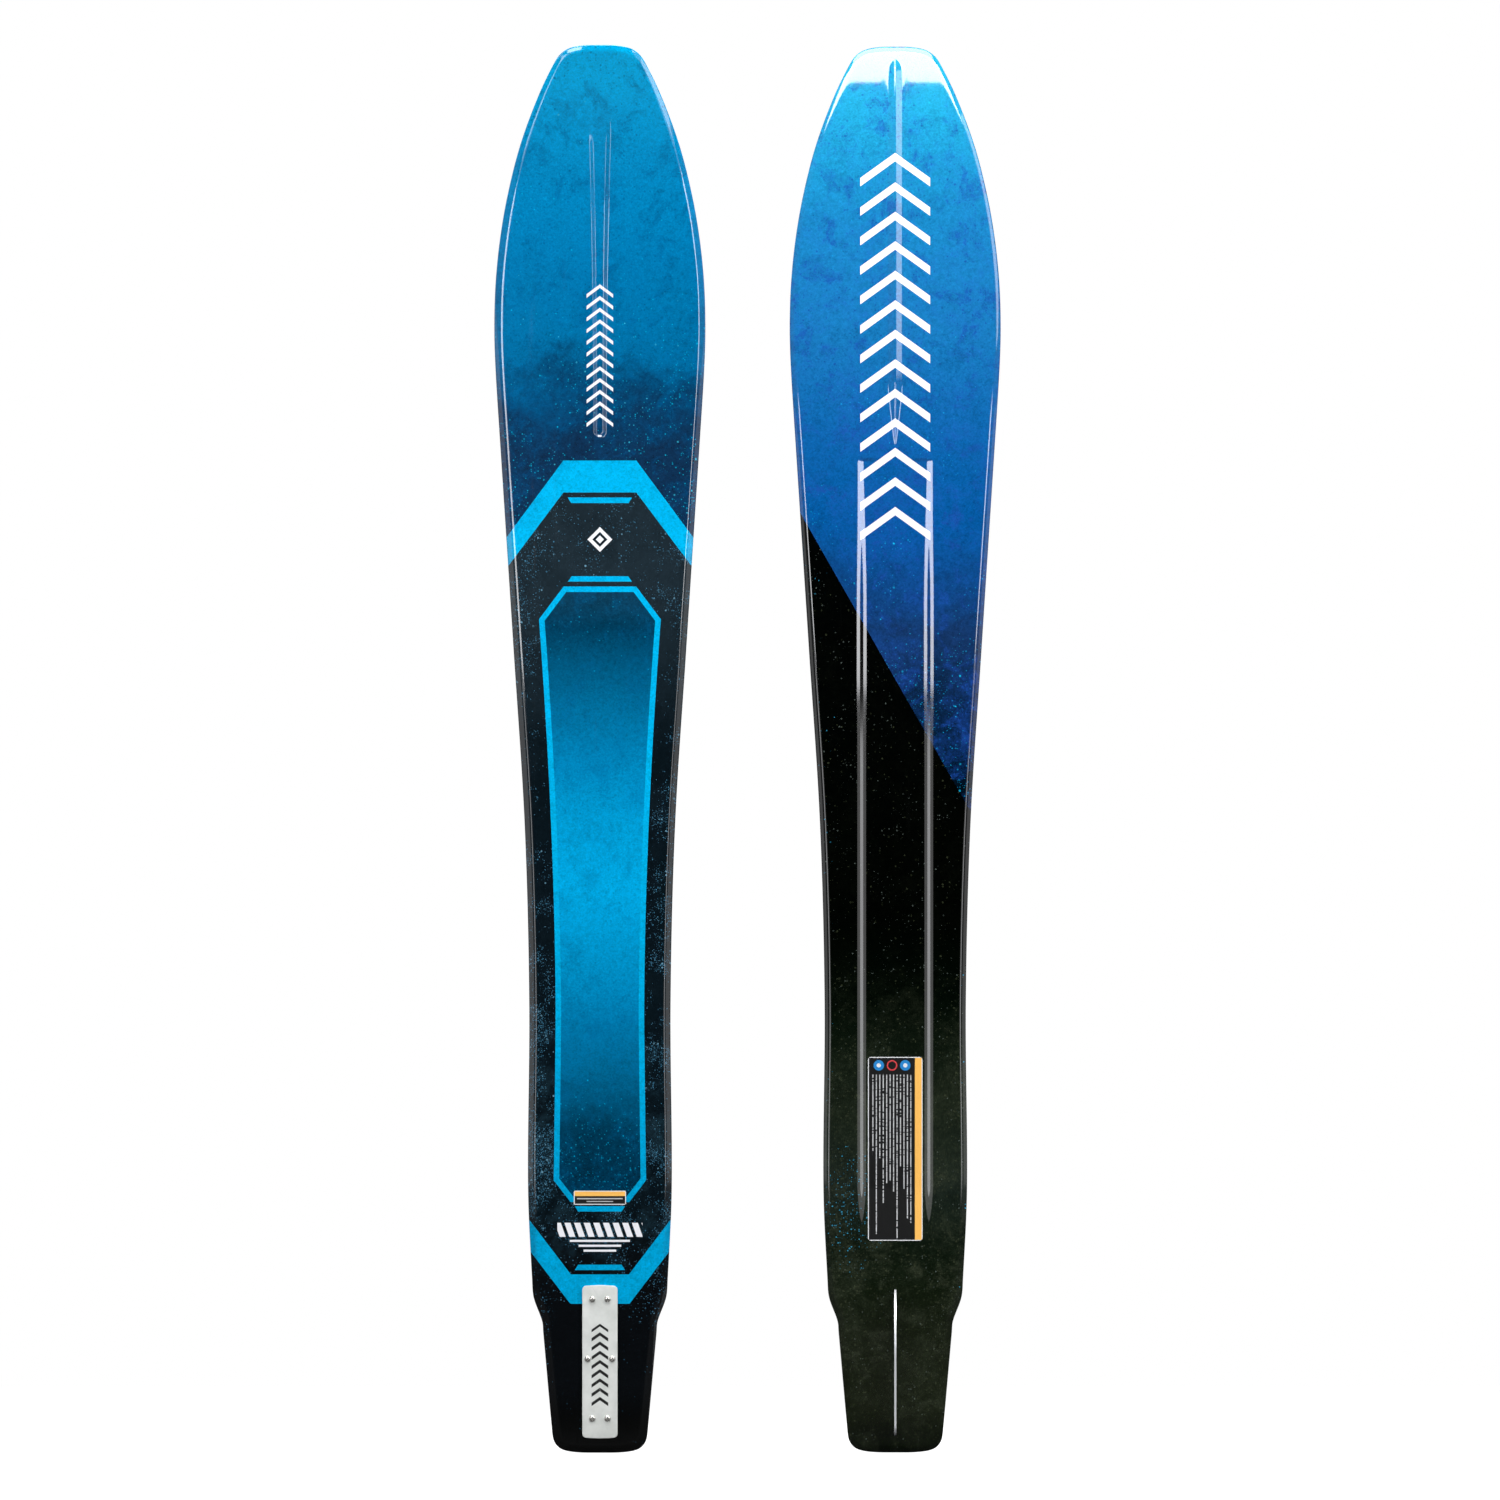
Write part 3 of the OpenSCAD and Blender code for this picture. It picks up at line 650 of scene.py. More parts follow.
def octagon(g, grow):
    """Distance inside the long octagonal frame, shrunk by grow."""
    z = g.z
    side = ((z - 545) / 493).high(0).power(1.78) * 20.7 + ((545 - z) / 205).high(0).power(1.2) * 2.4 + 55.2
    across = side - abs(g.x)
    top = 1079.2 - z
    foot = z - 312.4
    upper = top - (abs(g.x) - 45.2) * 1.33
    lower = foot - (abs(g.x) - 36.6) * 1.29
    return across.low(top).low(foot).low(upper * 0.62).low(lower * 0.62) - grow


def arrowheads(g, z_low, z_high, half, stroke, pitch, slope):
    """A column of plain nested arrowheads pointing at the tip."""
    line = g.z + abs(g.x) * slope
    phase = g.math("MODULO", line - z_low, pitch)
    bar = phase.above(0, 0.4) * phase.below(stroke, 0.4)
    return bar * (abs(g.x) - half).below(0) * line.above(z_low) * line.below(z_high)


def deck_paint(side):
    g = Graph(f"{side.name}_deck_print", side)
    light, smudge, cloud, plaster = grunge(g, 0.0)
    wobble = (cloud - 0.5) * 150 + (plaster - 0.5) * 90

    sky = g.gradient(g.z + wobble, [
        (1240, srgb(14, 46, 78)), (1290, srgb(10, 54, 90)), (1325, srgb(4, 72, 114)),
        (1365, srgb(0, 104, 154)), (1400, srgb(0, 112, 164)), (1480, srgb(0, 120, 175)),
        (1600, srgb(0, 138, 194)),
        (1680, srgb(0, 166, 224)), (1735, srgb(0, 186, 244))])
    sky = g.mix(sky, srgb(0, 74, 122), smudge * 0.6)
    drift = (g.noise(95, 4, 0.65, shift=61.0) - 0.36).ramp(0, 0.3)
    spray = (g.z + wobble).ramp(1225, 1480, 0.42, 0.03) * drift + 0.02
    sky = g.mix(sky, srgb(0, 182, 226), g.specks(2.2, 0.95, spray) * 0.8)
    sky = g.mix(sky, srgb(60, 190, 222), g.specks(5.5, 1.2, spray * 0.6, 2.0) * 0.9)

    haze = (g.z.ramp(830, 1100) * 0.85 + (cloud - 0.5) * 0.6).low(1).high(0)
    field = g.mix(srgb(8, 19, 25), srgb(31, 44, 52), haze)
    field = g.mix(field, srgb(9, 12, 15), g.z.ramp(330, 215))
    field = g.mix(field, srgb(1, 2, 2), g.z.ramp(90, 30))
    edge_dust = (abs(g.x) - g.z.ramp(560, 1000, 57, 72, "LINEAR")).ramp(-8, 14)
    dust = (g.noise(55, 4, 0.7, shift=21.0) - 0.44).ramp(0, 0.22)
    dust = (dust * (edge_dust * 0.7 + 0.25) + 0.03) * g.z.ramp(120, 300, 0.12, 1)
    rear = g.z.ramp(600, 420) * g.z.ramp(200, 270)
    dust = dust * (rear * 2 + 1)
    haze = g.noise(30, 4, 0.7, shift=31.0).ramp(0.42, 0.66) * rear
    field = g.mix(field, srgb(40, 70, 84), haze * 0.28)
    field = g.mix(field, srgb(84, 146, 178), g.specks(1.5, 0.75, dust, 17.0) * 0.75)
    field = g.mix(field, srgb(70, 132, 166), g.specks(2.2, 0.95, dust, 5.0) * 0.7)
    field = g.mix(field, srgb(120, 172, 198), g.specks(5.0, 1.2, dust * 0.5, 8.0) * 0.7)

    inside = octagon(g, 0)
    panel = g.gradient(g.z + wobble * 0.3, [
        (335, srgb(0, 46, 70)), (400, srgb(0, 58, 86)), (465, srgb(0, 96, 136)), (540, srgb(0, 121, 171)),
        (620, srgb(0, 148, 201)), (700, srgb(0, 166, 222)), (770, srgb(0, 158, 212)),
        (860, srgb(0, 129, 180)), (950, srgb(0, 96, 136)), (1025, srgb(0, 56, 84)), (1066, srgb(12, 56, 80))])
    panel = g.mix(panel, srgb(0, 84, 130), smudge * 0.42)
    mist = g.z.ramp(500, 320, 0.0, 0.34) + g.z.ramp(930, 1060, 0, 0.05) + 0.012
    panel = g.mix(panel, srgb(0, 158, 208), g.specks(2.1, 0.95, mist, 11.0) * 0.8)
    panel = g.mix(panel, srgb(30, 160, 205), g.specks(4.0, 1.1, mist * 0.4, 14.0) * 0.7)

    front_out = chevron_edge(g, 1236.1, 45.5, 1.352)
    front_in = chevron_edge(g, 1196.3, 45.4, 1.33)
    rear_in = -chevron_edge(g, 222.2, 36.2, -1.314)
    rear_out = -chevron_edge(g, 185.6, 36.7, -1.307)

    colour = g.mix(field, sky, front_out.above(0))
    frame_line = inside.above(0) * (inside - 6.9).below(0)
    band = front_in.above(0) * front_out.below(0)
    band_rear = rear_in.above(0) * rear_out.below(0)
    bars = strip(g, 40.0, 35.8, 1190.1, 1183.1)
    for values in ((35.2, 39.9, 1092.0, 1085.3), (31.2, 27.1, 307.2, 300.5), (27.1, 31.2, 234.3, 227.6)):
        bars = bars.high(strip(g, *values))
    cyan = g.mix(BAND_CYAN, srgb(0, 164, 215), g.z.ramp(1100, 300))
    cyan = g.mix(cyan, srgb(0, 146, 202), smudge * 0.4)
    colour = g.mix(colour, panel, (inside - 6.9).above(0))
    colour = g.mix(colour, cyan, frame_line.high(band).high(band_rear).high(bars))
    colour = g.scale(colour, light)

    # plain geometric marks where a real ski carries lettering
    marks = arrowheads(g, 1290.4, 1456, 16.5, 4.6, 14.6, 0.75)
    diamond = abs(g.x) + abs(g.z - 1137.8) - 15.5
    marks = marks.high(diamond.below(0) * diamond.above(-6.0)).high((diamond + 10.5).below(0))
    slant = g.math("MODULO", g.x + g.z * 0.35 + 400, 12.0)
    row = g.z.above(269) * g.z.below(286.5) * (abs(g.x) - 53).below(0)
    marks = marks.high(row * slant.above(0, 0.4) * slant.below(7.6, 0.4))
    for z_top, half in ((265.3, 37.5), (259.2, 26.5), (253.1, 20.3)):
        marks = marks.high(strip(g, half, half, z_top, z_top - 2.6))
    colour = g.mix(colour, WHITE, marks)
    return gloss(g, colour, 0.0)


def gloss(g, colour, shift):
    """Clear glossy surface with a faint ripple, and slightly duller scuffs along the ski."""
    bump = g.bump(g.noise(260, 1, 0.4, shift=shift + 2), 0.2, MM * 0.5)
    bump = g.bump(g.noise(2.2, 2, 0.5, shift=shift + 9), 0.08, MM * 0.03, bump)
    scuffs = g.noise(9, 4, 0.6, g.flat((1, 0.05), shift=shift + 4)).ramp(0.60, 0.74)
    return g.finish(Base_Color=colour, Roughness=scuffs * 0.05 + 0.055, Normal=bump, Specular_IOR_Level=1.0)


def base_paint(side):
    g = Graph(f"{side.name}_base_print", side)
    light, smudge, cloud, plaster = grunge(g, 31.0)
    wobble = (cloud - 0.5) * 120 + (plaster - 0.5) * 70
    blue = g.gradient(g.z + wobble, [
        (830, srgb(0, 14, 26)), (885, srgb(4, 28, 52)), (940, srgb(10, 36, 68)),
        (1000, srgb(20, 52, 98)), (1075, srgb(12, 67, 126)), (1150, srgb(4, 83, 150)),
        (1260, srgb(12, 92, 157)), (1390, srgb(22, 111, 170)),
        (1530, srgb(24, 124, 179)), (1640, srgb(26, 144, 186)), (1720, srgb(28, 158, 194))])
    blue = g.mix(blue, srgb(24, 66, 146), smudge * 0.75)
    drift = (g.noise(80, 4, 0.65, shift=40.0) - 0.44).ramp(0, 0.22)
    spray = drift * g.z.ramp(1500, 850, 0.04, 0.4) + 0.012
    blue = g.mix(blue, srgb(16, 160, 220), g.specks(2.2, 0.95, spray, 23.0) * 0.75)
    blue = g.mix(blue, srgb(20, 190, 236), g.specks(5.5, 1.2, spray * 0.5, 26.0) * 0.9)

    black = g.gradient(g.z + wobble * 0.5, [
        (0, srgb(3, 12, 0)), (60, srgb(17, 25, 5)), (130, srgb(19, 27, 9)), (260, srgb(13, 23, 14)),
        (330, srgb(27, 36, 30)), (420, srgb(24, 32, 22)), (500, srgb(11, 20, 11)),
        (560, srgb(1, 6, 2)), (660, srgb(0, 1, 0)), (1250, srgb(0, 1, 1))])
    earth = g.z.ramp(640, 380, 0.04, 1) * g.z.ramp(0, 120, 0.6, 1)
    black = g.mix(black, srgb(52, 58, 44), smudge * earth * 0.6)
    black = g.mix(black, srgb(66, 72, 52), g.specks(2.8, 1.3, earth * 0.45 + 0.05, 51.0) * 0.45)
    dust = (g.noise(48, 4, 0.7, shift=55.0) - 0.46).ramp(0, 0.22)
    black = g.mix(black, srgb(104, 116, 110), g.specks(2.4, 1.0, dust * 0.2 + 0.03, 29.0) * 0.5)
    cluster = ((g.x - 52) * (g.x - 52) + (g.z - 305) * (g.z - 305) * 0.25).root().ramp(52, 6) * 0.4
    cluster = cluster + (abs(g.x) - 62).ramp(0, 30) * 0.1 * dust
    black = g.mix(black, srgb(60, 165, 205), g.specks(2.4, 1.0, cluster, 37.0) * 0.85)

    # on the base, x grows to the viewer's left
    split = g.z - (g.x - 118.5) * 1.752 - 1171.4
    colour = g.scale(g.mix(black, blue, split.above(0, 0.5)), light)
    colour = g.mix(colour, WHITE, arrowheads(g, 1168, 1621, 43.5, 10.5, 36.8, 0.72))
    return gloss(g, colour, 15.0)


# ---------- other materials ----------

def plain(name, colour, side=None, rough=0.4, vary=0.12, size=20.0, metal=0.0, grain=0.4, depth=0.02,
          stretch=(1, 1), dark=None):
    """Material with colour variation, roughness variation and fine bump from noise."""
    g = Graph(name, side)
    vector = g.flat(stretch) if stretch != (1, 1) else g.position
    broad = g.noise(size, 4, 0.6, vector)
    fine = g.noise(grain, 2, 0.5, vector)
    tone = g.mix(colour, dark or tuple(c * 0.6 for c in colour), (broad - 0.45).ramp(0, 0.4) * vary * 3)
    tone = g.scale(tone, (fine - 0.5) * vary + 1)
    return g.finish(Base_Color=tone, Roughness=(broad - 0.5) * 0.3 * rough + rough, Metallic=metal,
                    Normal=g.bump(fine, 0.5, MM * depth))


def cover_material(side):
    """Off-white moulded plate with a column of plain dark arrowheads between the screws."""
    g = Graph(f"{side.name}_cover", side)
    low, high = cad_mm(f"{side.name}_fin_cover_plate")
    mid = (low[2] + high[2]) / 2
    broad = g.noise(30, 4, 0.6, shift=3.0)
    colour = g.mix(srgb(226, 228, 224), srgb(208, 211, 206), broad.ramp(0.35, 0.7))
    line = g.z + abs(g.x) * 0.7
    phase = g.math("MODULO", line - (mid - 48), 11.5)
    mark = phase.above(0, 0.2) * phase.below(4.4, 0.2) * (abs(g.x) - 10.4).below(0, 0.2)
    mark = mark * line.above(mid - 48) * line.below(mid + 47.5)
    on_top = (g.y * side.deck).above(high[1] * side.deck - 0.4 if side.deck > 0 else -low[1] - 0.4, 0.1)
    colour = g.mix(colour, srgb(18, 18, 18), mark * on_top)
    scratch = g.noise(3, 3, 0.6, g.flat((1, 0.06), 0.5), shift=8.0).ramp(0.66, 0.74)
    colour = g.mix(colour, srgb(180, 182, 180), scratch * 0.35)
    fine = g.noise(0.5, 2, 0.5, g.position)
    return g.finish(Base_Color=colour, Roughness=broad * 0.1 + 0.32, Normal=g.bump(fine, 0.4, MM * 0.02))


def label_material(side, node, deck):
    """Sticker: dark field with a pale border, an amber bar and plain rules, and no lettering. The one
    on the base also has three plain discs."""
    g = Graph(f"{node}_print", side)
    low, high = cad_mm(node)
    half, z0, z1 = (high[0] - low[0]) / 2, low[2], high[2]
    amber, dark, pale = srgb(252, 190, 92), srgb(6, 7, 7), srgb(226, 228, 230)
    border = 1.1
    edge = (half - abs(g.x)).low(g.z - z0).low(z1 - g.z)
    fleck = g.noise(1.3, 3, 0.6, shift=2.0)
    if deck:
        bar = (z1 - border - g.z).below(5.6, 0.15)
        rules = strip(g, half - 4, half - 4, z0 + 8.2, z0 + 6.9)
        rules = rules.high(strip(g, half - 16, half - 16, z0 + 4.6, z0 + 3.6))
    else:
        across = -g.x
        bar = (half - border - across).below(8.4, 0.15)
        phase = g.math("MODULO", across + half - 5.5, 4.3)
        column = g.math("FLOOR", (across + half - 5.5) / 4.3)
        # each rule has its own length, from the fraction of a large sine
        reach = g.math("FRACT", g.math("SINE", column * 12.9898) * 43758.5453) * 110 + 95
        gap = g.noise(2.2, 1, 0.5, g.flat((0.2, 1)), shift=3.0).ramp(0.38, 0.44)
        rules = phase.above(0, 0.2) * phase.below(1.3, 0.2) * (across + half).above(5.2) * gap
        rules = rules * (half - across).above(14) * (z1 - g.z).above(22) * (z1 - 22 - g.z - reach).below(0)
    colour = g.mix(dark, pale, rules * 0.75)
    colour = g.mix(colour, amber, bar)
    if not deck:
        blue, red = srgb(30, 130, 200), srgb(214, 66, 70)
        for x, tint, inside, r in ((-20.5, blue, pale, 2.6), (-4, red, dark, 5.0), (12.5, blue, pale, 2.6)):
            away = ((across - x) * (across - x) + (g.z - (z1 - 10.5)) * (g.z - (z1 - 10.5))).root()
            colour = g.mix(colour, tint, away.below(6.5, 0.3))
            colour = g.mix(colour, inside, away.below(r, 0.3))
    colour = g.mix(colour, pale, edge.below(border, 0.15))
    colour = g.scale(colour, (fleck - 0.5) * 0.2 + 1)
    return g.finish(Base_Color=colour, Roughness=fleck * 0.1 + 0.28, Normal=g.bump(fleck, 0.3, MM * 0.01))


def carbon(name):
    """Woven fibre laminate under clear resin."""
    g = Graph(name)
    weave = g.math("MODULO", g.math("FLOOR", g.x / 2.2) + g.math("FLOOR", g.z / 2.2), 2.0)
    thread = g.noise(0.8, 2, 0.5, g.flat((1, 0.15)))
    colour = g.mix(srgb(26, 27, 28), srgb(58, 60, 62), abs(weave) * 0.6 + thread * 0.3)
    return g.finish(Base_Color=colour, Roughness=thread * 0.15 + 0.22, Normal=g.bump(weave, 0.3, MM * 0.05))


def assign(node, material):
    obj = frame["nodes"][node]
    obj.data.materials.clear()
    obj.data.materials.append(material)
    for polygon in obj.data.polygons:
        polygon.material_index = 0


# ---------- fin hardware ----------

COVER_T, COVER_BOW, COVER_ROUND, SCREWS_ABOVE_MIDDLE = 3.5, 1.4, 0.8, 3.6
SCREW_ROWS, SCREW_PITCH = ((9.4, -1), (15.3, 0), (9.4, 1)), 74.3
HEAD_R, HEAD_H, SHANK_R, SHANK_LEN = 4.0, 2.4, 2.0, 13.0


def screw_places(z_mid):
    return [(sx * x, z_mid + row * SCREW_PITCH) for x, row in SCREW_ROWS for sx in (-1, 1)]


def lathe(places, profile, n):
    """Closed turned solids standing on h, one at each (x, z); profile is (r, h) from axis to axis."""
    points, faces = [], []
    for x, z in places:
        rings = []
        for r, h in profile:
            count = 1 if r == 0 else n
            rings.append([len(points) + i for i in range(count)])
            points += [(x + r * math.cos(2 * math.pi * i / n), h, z + r * math.sin(2 * math.pi * i / n))
                       for i in range(count)]
        for low, high in zip(rings, rings[1:]):
            for i in range(n):
                j = (i + 1) % n
                ring = [low[i % len(low)], low[j % len(low)], high[j % len(high)], high[i % len(high)]]
                faces.append(list(dict.fromkeys(ring)))
    return points, faces


def cover_outline(half, z0, z1, r, shrink):
    """Plate outline with bowed ends, moved inwards by shrink."""
    z_mid, long_half = (z0 + z1) / 2, (z1 - z0) / 2
    corner = rounded_rect(-half + shrink, half - shrink, -long_half + shrink, long_half - shrink,
                          r - shrink, 8)
    flat = half - r
    out = []
    for k, (x, z) in enumerate(corner):
        out.append((x, z))
        if k % 9 == 8 and (k // 9) % 2 == 0:
            out += [(x * t, z) for t in (0.75, 0.5, 0.25, 0, -0.25, -0.5, -0.75)]
    return [(x, z_mid + z - math.copysign(COVER_BOW * (x / half) ** 2, z)) for x, z in out]


def build_cover(side):
    node = f"{side.name}_fin_cover_plate"
    low, high = cad_mm(node)
    half = (high[0] - low[0]) / 2
    profile = [(0.25, MID_T), (0.0, MID_T + 0.25), (0.0, MID_T + COVER_T - COVER_ROUND)]
    profile += [(COVER_ROUND * (1 - math.cos(a)), MID_T + COVER_T - COVER_ROUND * (1 - math.sin(a)))
                for a in np.linspace(0, math.pi / 2, 6)[1:]]
    rings = [[(x, h, z) for x, z in cover_outline(half, low[2], high[2], 4.6, shrink)]
             for shrink, h in profile]
    n = len(rings[0])
    faces = [list(range(n)), list(range((len(rings) - 1) * n, len(rings) * n))]
    faces += [[k * n + i, k * n + (i + 1) % n, (k + 1) * n + (i + 1) % n, (k + 1) * n + i]
              for k in range(len(rings) - 1) for i in range(n)]
    points = [p for ring in rings for p in ring]
    obj = make_mesh(f"{side.name}_cover_moulding", side.world(points), faces)
    places = screw_places((low[2] + high[2]) / 2 + SCREWS_ABOVE_MIDDLE)
    holes = prism([circle(x, z, SHANK_R + 0.25) for x, z in places], MID_T - 1, MID_T + COVER_T + 1)
    cut(obj, make_mesh("cover_cutter", side.world(holes[0]), holes[1]))
    smooth(obj, 40)
    finish_piece(obj, cover_material(side), side.body("fin_cover"), node)


def build_screws(side):
    low, high = cad_mm(f"{side.name}_fin_screws")
    seat = MID_T + COVER_T
    dome = [(HEAD_R * math.sin(a), seat + 0.55 + (HEAD_H - 0.55) * math.cos(a))
            for a in np.linspace(math.pi / 2, 0, 12)]
    dome[-1] = (0, seat + HEAD_H)
    profile = [(0, seat - SHANK_LEN), (SHANK_R - 0.5, seat - SHANK_LEN), (SHANK_R, seat - SHANK_LEN + 0.6)]
    pitch = 0.8
    for k in range(12):
        h = seat - SHANK_LEN + 0.9 + k * pitch
        profile += [(SHANK_R - 0.28, h + pitch * 0.25), (SHANK_R, h + pitch * 0.5)]
    profile += [(SHANK_R, seat), (HEAD_R - 0.15, seat), (HEAD_R, seat + 0.2)] + dome
    places = screw_places((low[2] + high[2]) / 2)
    points, faces = lathe(places, profile, 32)
    obj = make_mesh(f"{side.name}_screw_set", side.world(points), faces)
    crosses = []
    for x, z in places:
        a, w = 2.3, 0.62
        crosses.append([(x + u, z + v) for u, v in (
            (a, w), (w, w), (w, a), (-w, a), (-w, w), (-a, w), (-a, -w), (-w, -w), (-w, -a), (w, -a),
            (w, -w), (a, -w))])
    cutter = prism(crosses, seat + HEAD_H - 1.5, seat + HEAD_H + 1)
    cut(obj, make_mesh("cross_cutter", side.world(cutter[0]), cutter[1]))
    smooth(obj, 35)
    finish_piece(obj, screw_steel, side.body("fin_fasteners"), f"{side.name}_fin_screws")


# ---------- build ----------

BOOT_Z = [m["pos_m"][2] / MM for m in frame["record"]["mounts"]
          if m["name"] in ("left_front_boot", "left_rear_boot")]
BOOT_X, BOOT_STEP, HOLE_R = 38.0, 82.5, 2.6


def build_layer(side, deck, source, name, node, slot, material):
    name = f"{side.name}_{name}"
    points, faces = source
    obj = make_mesh(name, side.world(points), faces)
    low, high = cad_mm(f"{side.name}_fin_gasket" if deck else f"{side.name}_fin_blade")
    if deck:
        holes = [rounded_rect(-20, 20, low[2] - 0.5, high[2] + 0.5, 4)]
        # only the laminate is drilled over the boot inserts; the printed sheet covers those holes,
        # though the CAD node it stands for is drilled too
        if slot == "laminate":
            holes += [circle(sx * BOOT_X, z + sz * BOOT_STEP, HOLE_R)
                      for z in BOOT_Z for sx in (-1, 1) for sz in (-1, 1)]
        cutter = prism(holes, MID_T - 4, MID_T + 3)
    else:
        cutter = prism([rounded_rect(-1.5, 1.5, low[2] - 1, high[2] + 1, 0.4, 3)], -4, 10)
    cut(obj, make_mesh(name + "_cutter", side.world(cutter[0]), cutter[1]))
    smooth(obj, 32)
    finish_piece(obj, material, side.body("ski"), f"{side.name}_{node}")


DECK_SHEET, BASE_SHEET = shell(True, 0, SHEET_T, True), shell(False, 0, SHEET_T, True)
DECK_LAMINATE, BASE_LAMINATE = shell(True, SHEET_T, SHELL_T, False), shell(False, SHEET_T, SHELL_T, False)
laminate = carbon("laminate")
foam = plain("foam", srgb(214, 196, 150), rough=0.85, vary=0.2, size=8, depth=0.2)
insert_steel = plain("insert_steel", srgb(176, 178, 180), rough=0.32, metal=1.0, vary=0.1, size=6)
plate_metal = plain("insert_plate", srgb(190, 192, 196), rough=0.4, metal=1.0, vary=0.1, size=30,
                    stretch=(1, 0.1))
block = plain("fin_block", srgb(150, 116, 84), rough=0.6, vary=0.25, size=12)
rubber = plain("gasket", srgb(44, 45, 46), rough=0.75, vary=0.2, size=6)
brass = plain("brass", srgb(212, 176, 96), rough=0.3, metal=1.0, size=5)
fin_metal = plain("fin_metal", srgb(236, 238, 240), rough=0.42, metal=0.45, vary=0.06, size=40, grain=1.0,
                  stretch=(1, 0.04), depth=0.01)
flange_metal = plain("flange_metal", srgb(196, 198, 202), rough=0.36, metal=1.0, vary=0.1, size=16)
screw_steel = plain("screw_steel", srgb(232, 230, 224), rough=0.26, metal=0.8, vary=0.08, size=4)

NODE_LOOKS = {
    "foam_core": foam,
    "front_insert_plate": plate_metal, "rear_insert_plate": plate_metal,
    "front_boot_inserts": insert_steel, "rear_boot_inserts": insert_steel, "fin_block": block,
    "fin_gasket": rubber, "fin_inserts": brass, "fin_blade": fin_metal,
    "fin_flange_inner": flange_metal, "fin_flange_outer": flange_metal, "fin_rivets": flange_metal,
}

for side in (Side("left"), Side("right")):
    build_layer(side, True, DECK_SHEET, "deck_sheet", "top_sheet", "deck_print", deck_paint(side))
    build_layer(side, False, BASE_SHEET, "base_skin", "base_sheet", "base_print", base_paint(side))
    build_layer(side, True, DECK_LAMINATE, "upper_laminate", "top_laminate", "laminate", laminate)
    build_layer(side, False, BASE_LAMINATE, "lower_laminate", "bottom_laminate", "laminate", laminate)
    for part, look in NODE_LOOKS.items():
        assign(f"{side.name}_{part}", look)
    build_cover(side)
    build_screws(side)
    assign(f"{side.name}_deck_label", label_material(side, f"{side.name}_deck_label", True))
    assign(f"{side.name}_base_label", label_material(side, f"{side.name}_base_label", False))

# ---------- stage ----------

floor_mesh = bpy.data.meshes.new("floor")
floor_mesh.from_pydata([(-6, -8, 0), (6, -8, 0), (6, 8, 0), (-6, 8, 0)], [], [(0, 1, 2, 3)])
floor = bpy.data.objects.new("floor", floor_mesh)
bpy.context.scene.collection.objects.link(floor)
floor.location.z = -0.0005
paper = Graph("floor_paper")
tone = paper.noise(400, 3, 0.5, paper.position)
paper.finish(Base_Color=paper.mix(srgb(246, 246, 247), srgb(240, 241, 243), tone), Roughness=0.95,
             Specular_IOR_Level=0.0)
# the sweep is bright to the camera and dull in reflections, like paper lit from above and behind
glow, dull = paper.nodes.new("ShaderNodeEmission"), paper.nodes.new("ShaderNodeBsdfDiffuse")
glow.inputs["Color"].default_value = (1.28, 1.28, 1.28, 1)
dull.inputs["Color"].default_value = (0.03, 0.03, 0.03, 1)
direct, choice, rays = (paper.nodes.new("ShaderNodeMixShader"), paper.nodes.new("ShaderNodeMixShader"),
                        paper.nodes.new("ShaderNodeLightPath"))
direct.inputs[0].default_value = 0.75
for link in ((paper.shader.outputs[0], direct.inputs[1]), (glow.outputs[0], direct.inputs[2]),
             (rays.outputs["Is Camera Ray"], choice.inputs[0]), (dull.outputs[0], choice.inputs[1]),
             (direct.outputs[0], choice.inputs[2]), (choice.outputs[0], paper.out.inputs["Surface"])):
    paper.tree.links.new(*link)
floor.data.materials.append(paper.material)


def panel(name, place, aim, size, strength, tint=(1, 1, 1), fade=None, seen=True):
    """Rectangular soft light at place, facing aim, size (width, height) in metres. fade is the share
    of the strength left at its lower edge, and seen says if the gloss mirrors it."""
    data = bpy.data.lights.new(name, "AREA")
    data.shape = "RECTANGLE"
    data.size, data.size_y = size
    data.energy = strength * size[0] * size[1] * math.pi
    data.color = tint
    if fade is not None:
        data.use_nodes = True
        nodes, links = data.node_tree.nodes, data.node_tree.links
        spot, parts, level = (nodes.new("ShaderNodeNewGeometry"), nodes.new("ShaderNodeSeparateXYZ"),
                              nodes.new("ShaderNodeMapRange"))
        level.inputs["From Max"].default_value = 0.6
        level.inputs["To Min"].default_value = fade
        links.new(spot.outputs["Parametric"], parts.inputs[0])
        links.new(parts.outputs["Y"], level.inputs["Value"])
        links.new(level.outputs["Result"], nodes["Emission"].inputs["Strength"])
    lamp = bpy.data.objects.new(name, data)
    lamp.location = place
    lamp.visible_camera = False
    lamp.visible_glossy = seen
    lamp.rotation_mode = "QUATERNION"
    lamp.rotation_quaternion = (Vector(aim) - Vector(place)).to_track_quat("-Z", "Y")
    bpy.context.scene.collection.objects.link(lamp)
    return lamp


def seen_at(turn, distance, height):
    """Point round the pair: turn in degrees to the right of the camera's line, distance in metres."""
    t = math.radians(turn)
    return Vector((distance * math.sin(t), -distance * math.cos(t), height))


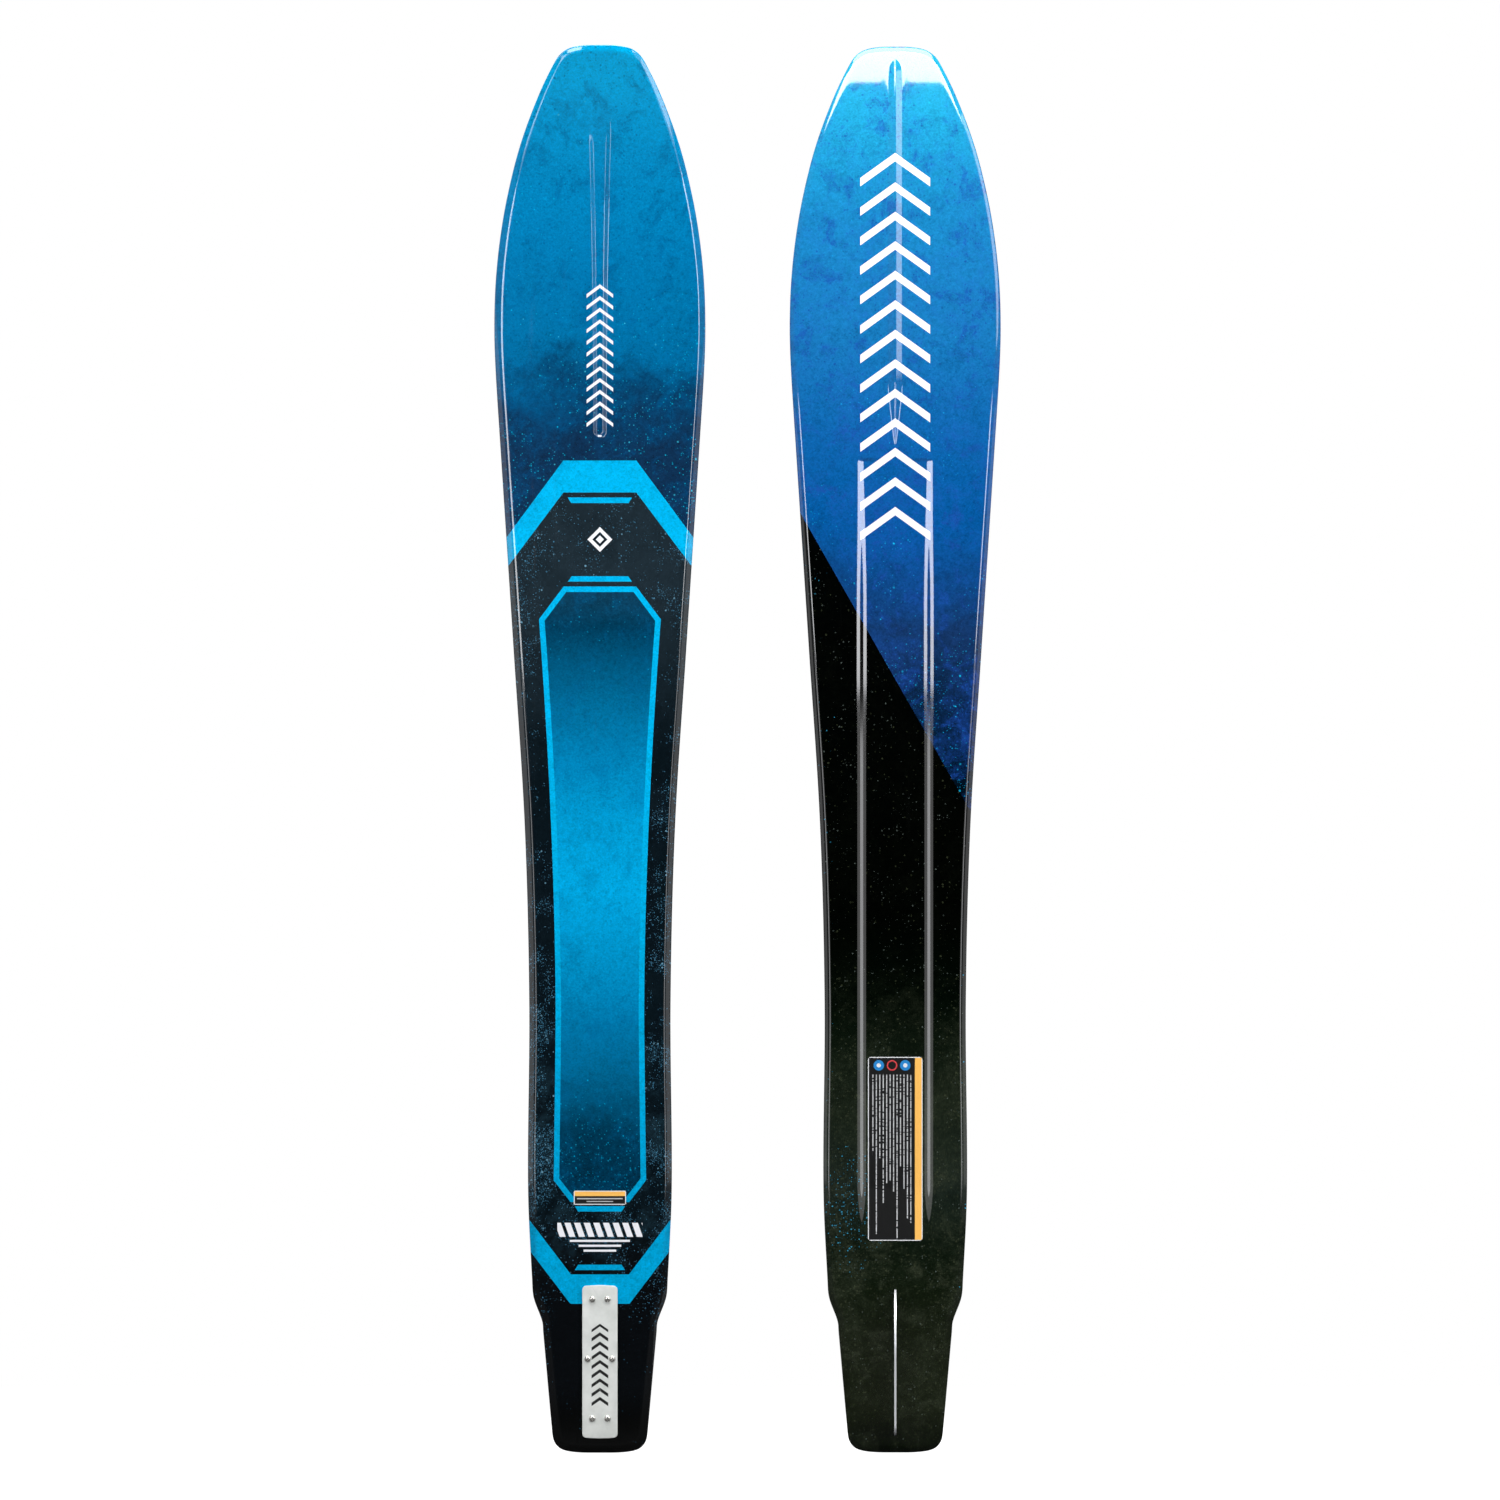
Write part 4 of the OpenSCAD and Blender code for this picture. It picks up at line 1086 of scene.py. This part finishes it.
# key: a softbox square to the tips, whose lower edge is 46 degrees up seen from them
rise = math.radians(45.8)
out, up = Vector((0, -math.cos(rise), math.sin(rise))), Vector((0, math.sin(rise), math.cos(rise)))
KEY_SIZE = (4.2, 1.5)
place = Vector((0, 0.05, 1.705)) + out * 4.4 + up * KEY_SIZE[1] / 2
panel("key", place, place - out, KEY_SIZE, 12.5, fade=0.85)
panel("ceiling", (0, -0.55, 4.6), (0, 0, 1.7), (2.2, 1.8), 8.5)
panel("keel", seen_at(52, 3.7, 3.3), (0.18, 0, 1.6), (1.3, 2.9), 3.0)
base_ski = Vector((SPACING / 2 * MM, 0, 0))
COOL = (0.96, 0.97, 1.0)
for sx in (-1, 1):
    # boxes to each side of the ski that shows its base, which draw bright lines on its rounded edges
    upper, lower = base_ski + Vector((0, 0, 1.31)), base_ski + Vector((0, 0, 0.6))
    panel(f"strip_{sx}", upper + Vector((sx * 0.95, -2.5, 0)), upper, (0.70, 0.72), 6.8, COOL)
    panel(f"foot_{sx}", seen_at(sx * 34, 2.5, 0.6) + base_ski, lower, (0.42, 0.60), 2.6, COOL)
    panel(f"glow_{sx}", seen_at(sx * 28, 2.6, 0.6) + base_ski, lower, (1.1, 0.66), 0.8)
    # fill from the sides that the gloss doesn't mirror, dim side walls, and lights for the far faces
    panel(f"wide_{sx}", seen_at(sx * 56, 3.4, 0.52), (0, 0, 0.5), (1.5, 1.4), 3.8, (0.95, 0.97, 1.0),
          seen=False)
    panel(f"wall_{sx}", (sx * 2.4, -0.25, 0.85), (0, 0, 0.85), (1.4, 1.1), 0.55)
    panel(f"back_{sx}", (sx * 2.4, 3.2, 2.2), (0, 0, 1.0), (1.8, 2.0), 9.0, seen=False)

world = bpy.data.worlds.new("studio")
bpy.context.scene.world = world
world.use_nodes = True
tree = world.node_tree
tree.nodes.clear()


def world_node(kind, **inputs):
    node = tree.nodes.new(kind)
    for name, value in inputs.items():
        node.inputs[name].default_value = value
    return node


output = world_node("ShaderNodeOutputWorld")
seen = world_node("ShaderNodeBackground", Color=(1, 1, 1, 1))
room = world_node("ShaderNodeBackground", Color=(0.93, 0.95, 1.0, 1))
spot, split = world_node("ShaderNodeTexCoord"), world_node("ShaderNodeSeparateXYZ")
# the room is dark behind the camera, so the flats stay deep, and pale to the sides and above
shade = world_node("ShaderNodeMapRange")
shade.interpolation_type = "SMOOTHSTEP"
for place, value in zip(("From Min", "From Max", "To Min", "To Max"), (-0.97, -0.55, 0.004, 0.14)):
    shade.inputs[place].default_value = value
switch, path = world_node("ShaderNodeMixShader"), world_node("ShaderNodeLightPath")
for link in ((spot.outputs["Generated"], split.inputs[0]), (split.outputs["Y"], shade.inputs["Value"]),
             (shade.outputs["Result"], room.inputs["Strength"]),
             (path.outputs["Is Camera Ray"], switch.inputs[0]), (room.outputs[0], switch.inputs[1]),
             (seen.outputs[0], switch.inputs[2]), (switch.outputs[0], output.inputs[0])):
    tree.links.new(*link)

camera_data = bpy.data.cameras.new("camera")
camera_data.lens = 1500
camera_data.sensor_width = 36
camera_data.clip_end = 200
camera = bpy.data.objects.new("camera", camera_data)
FRAME_HEIGHT = 1.8692
camera.location = (0.003, -FRAME_HEIGHT * camera_data.lens / camera_data.sensor_width, 0.8755)
camera.rotation_euler = (math.radians(90), 0, 0)
bpy.context.scene.collection.objects.link(camera)
bpy.context.scene.camera = camera
bpy.context.scene.view_settings.view_transform = "Standard"
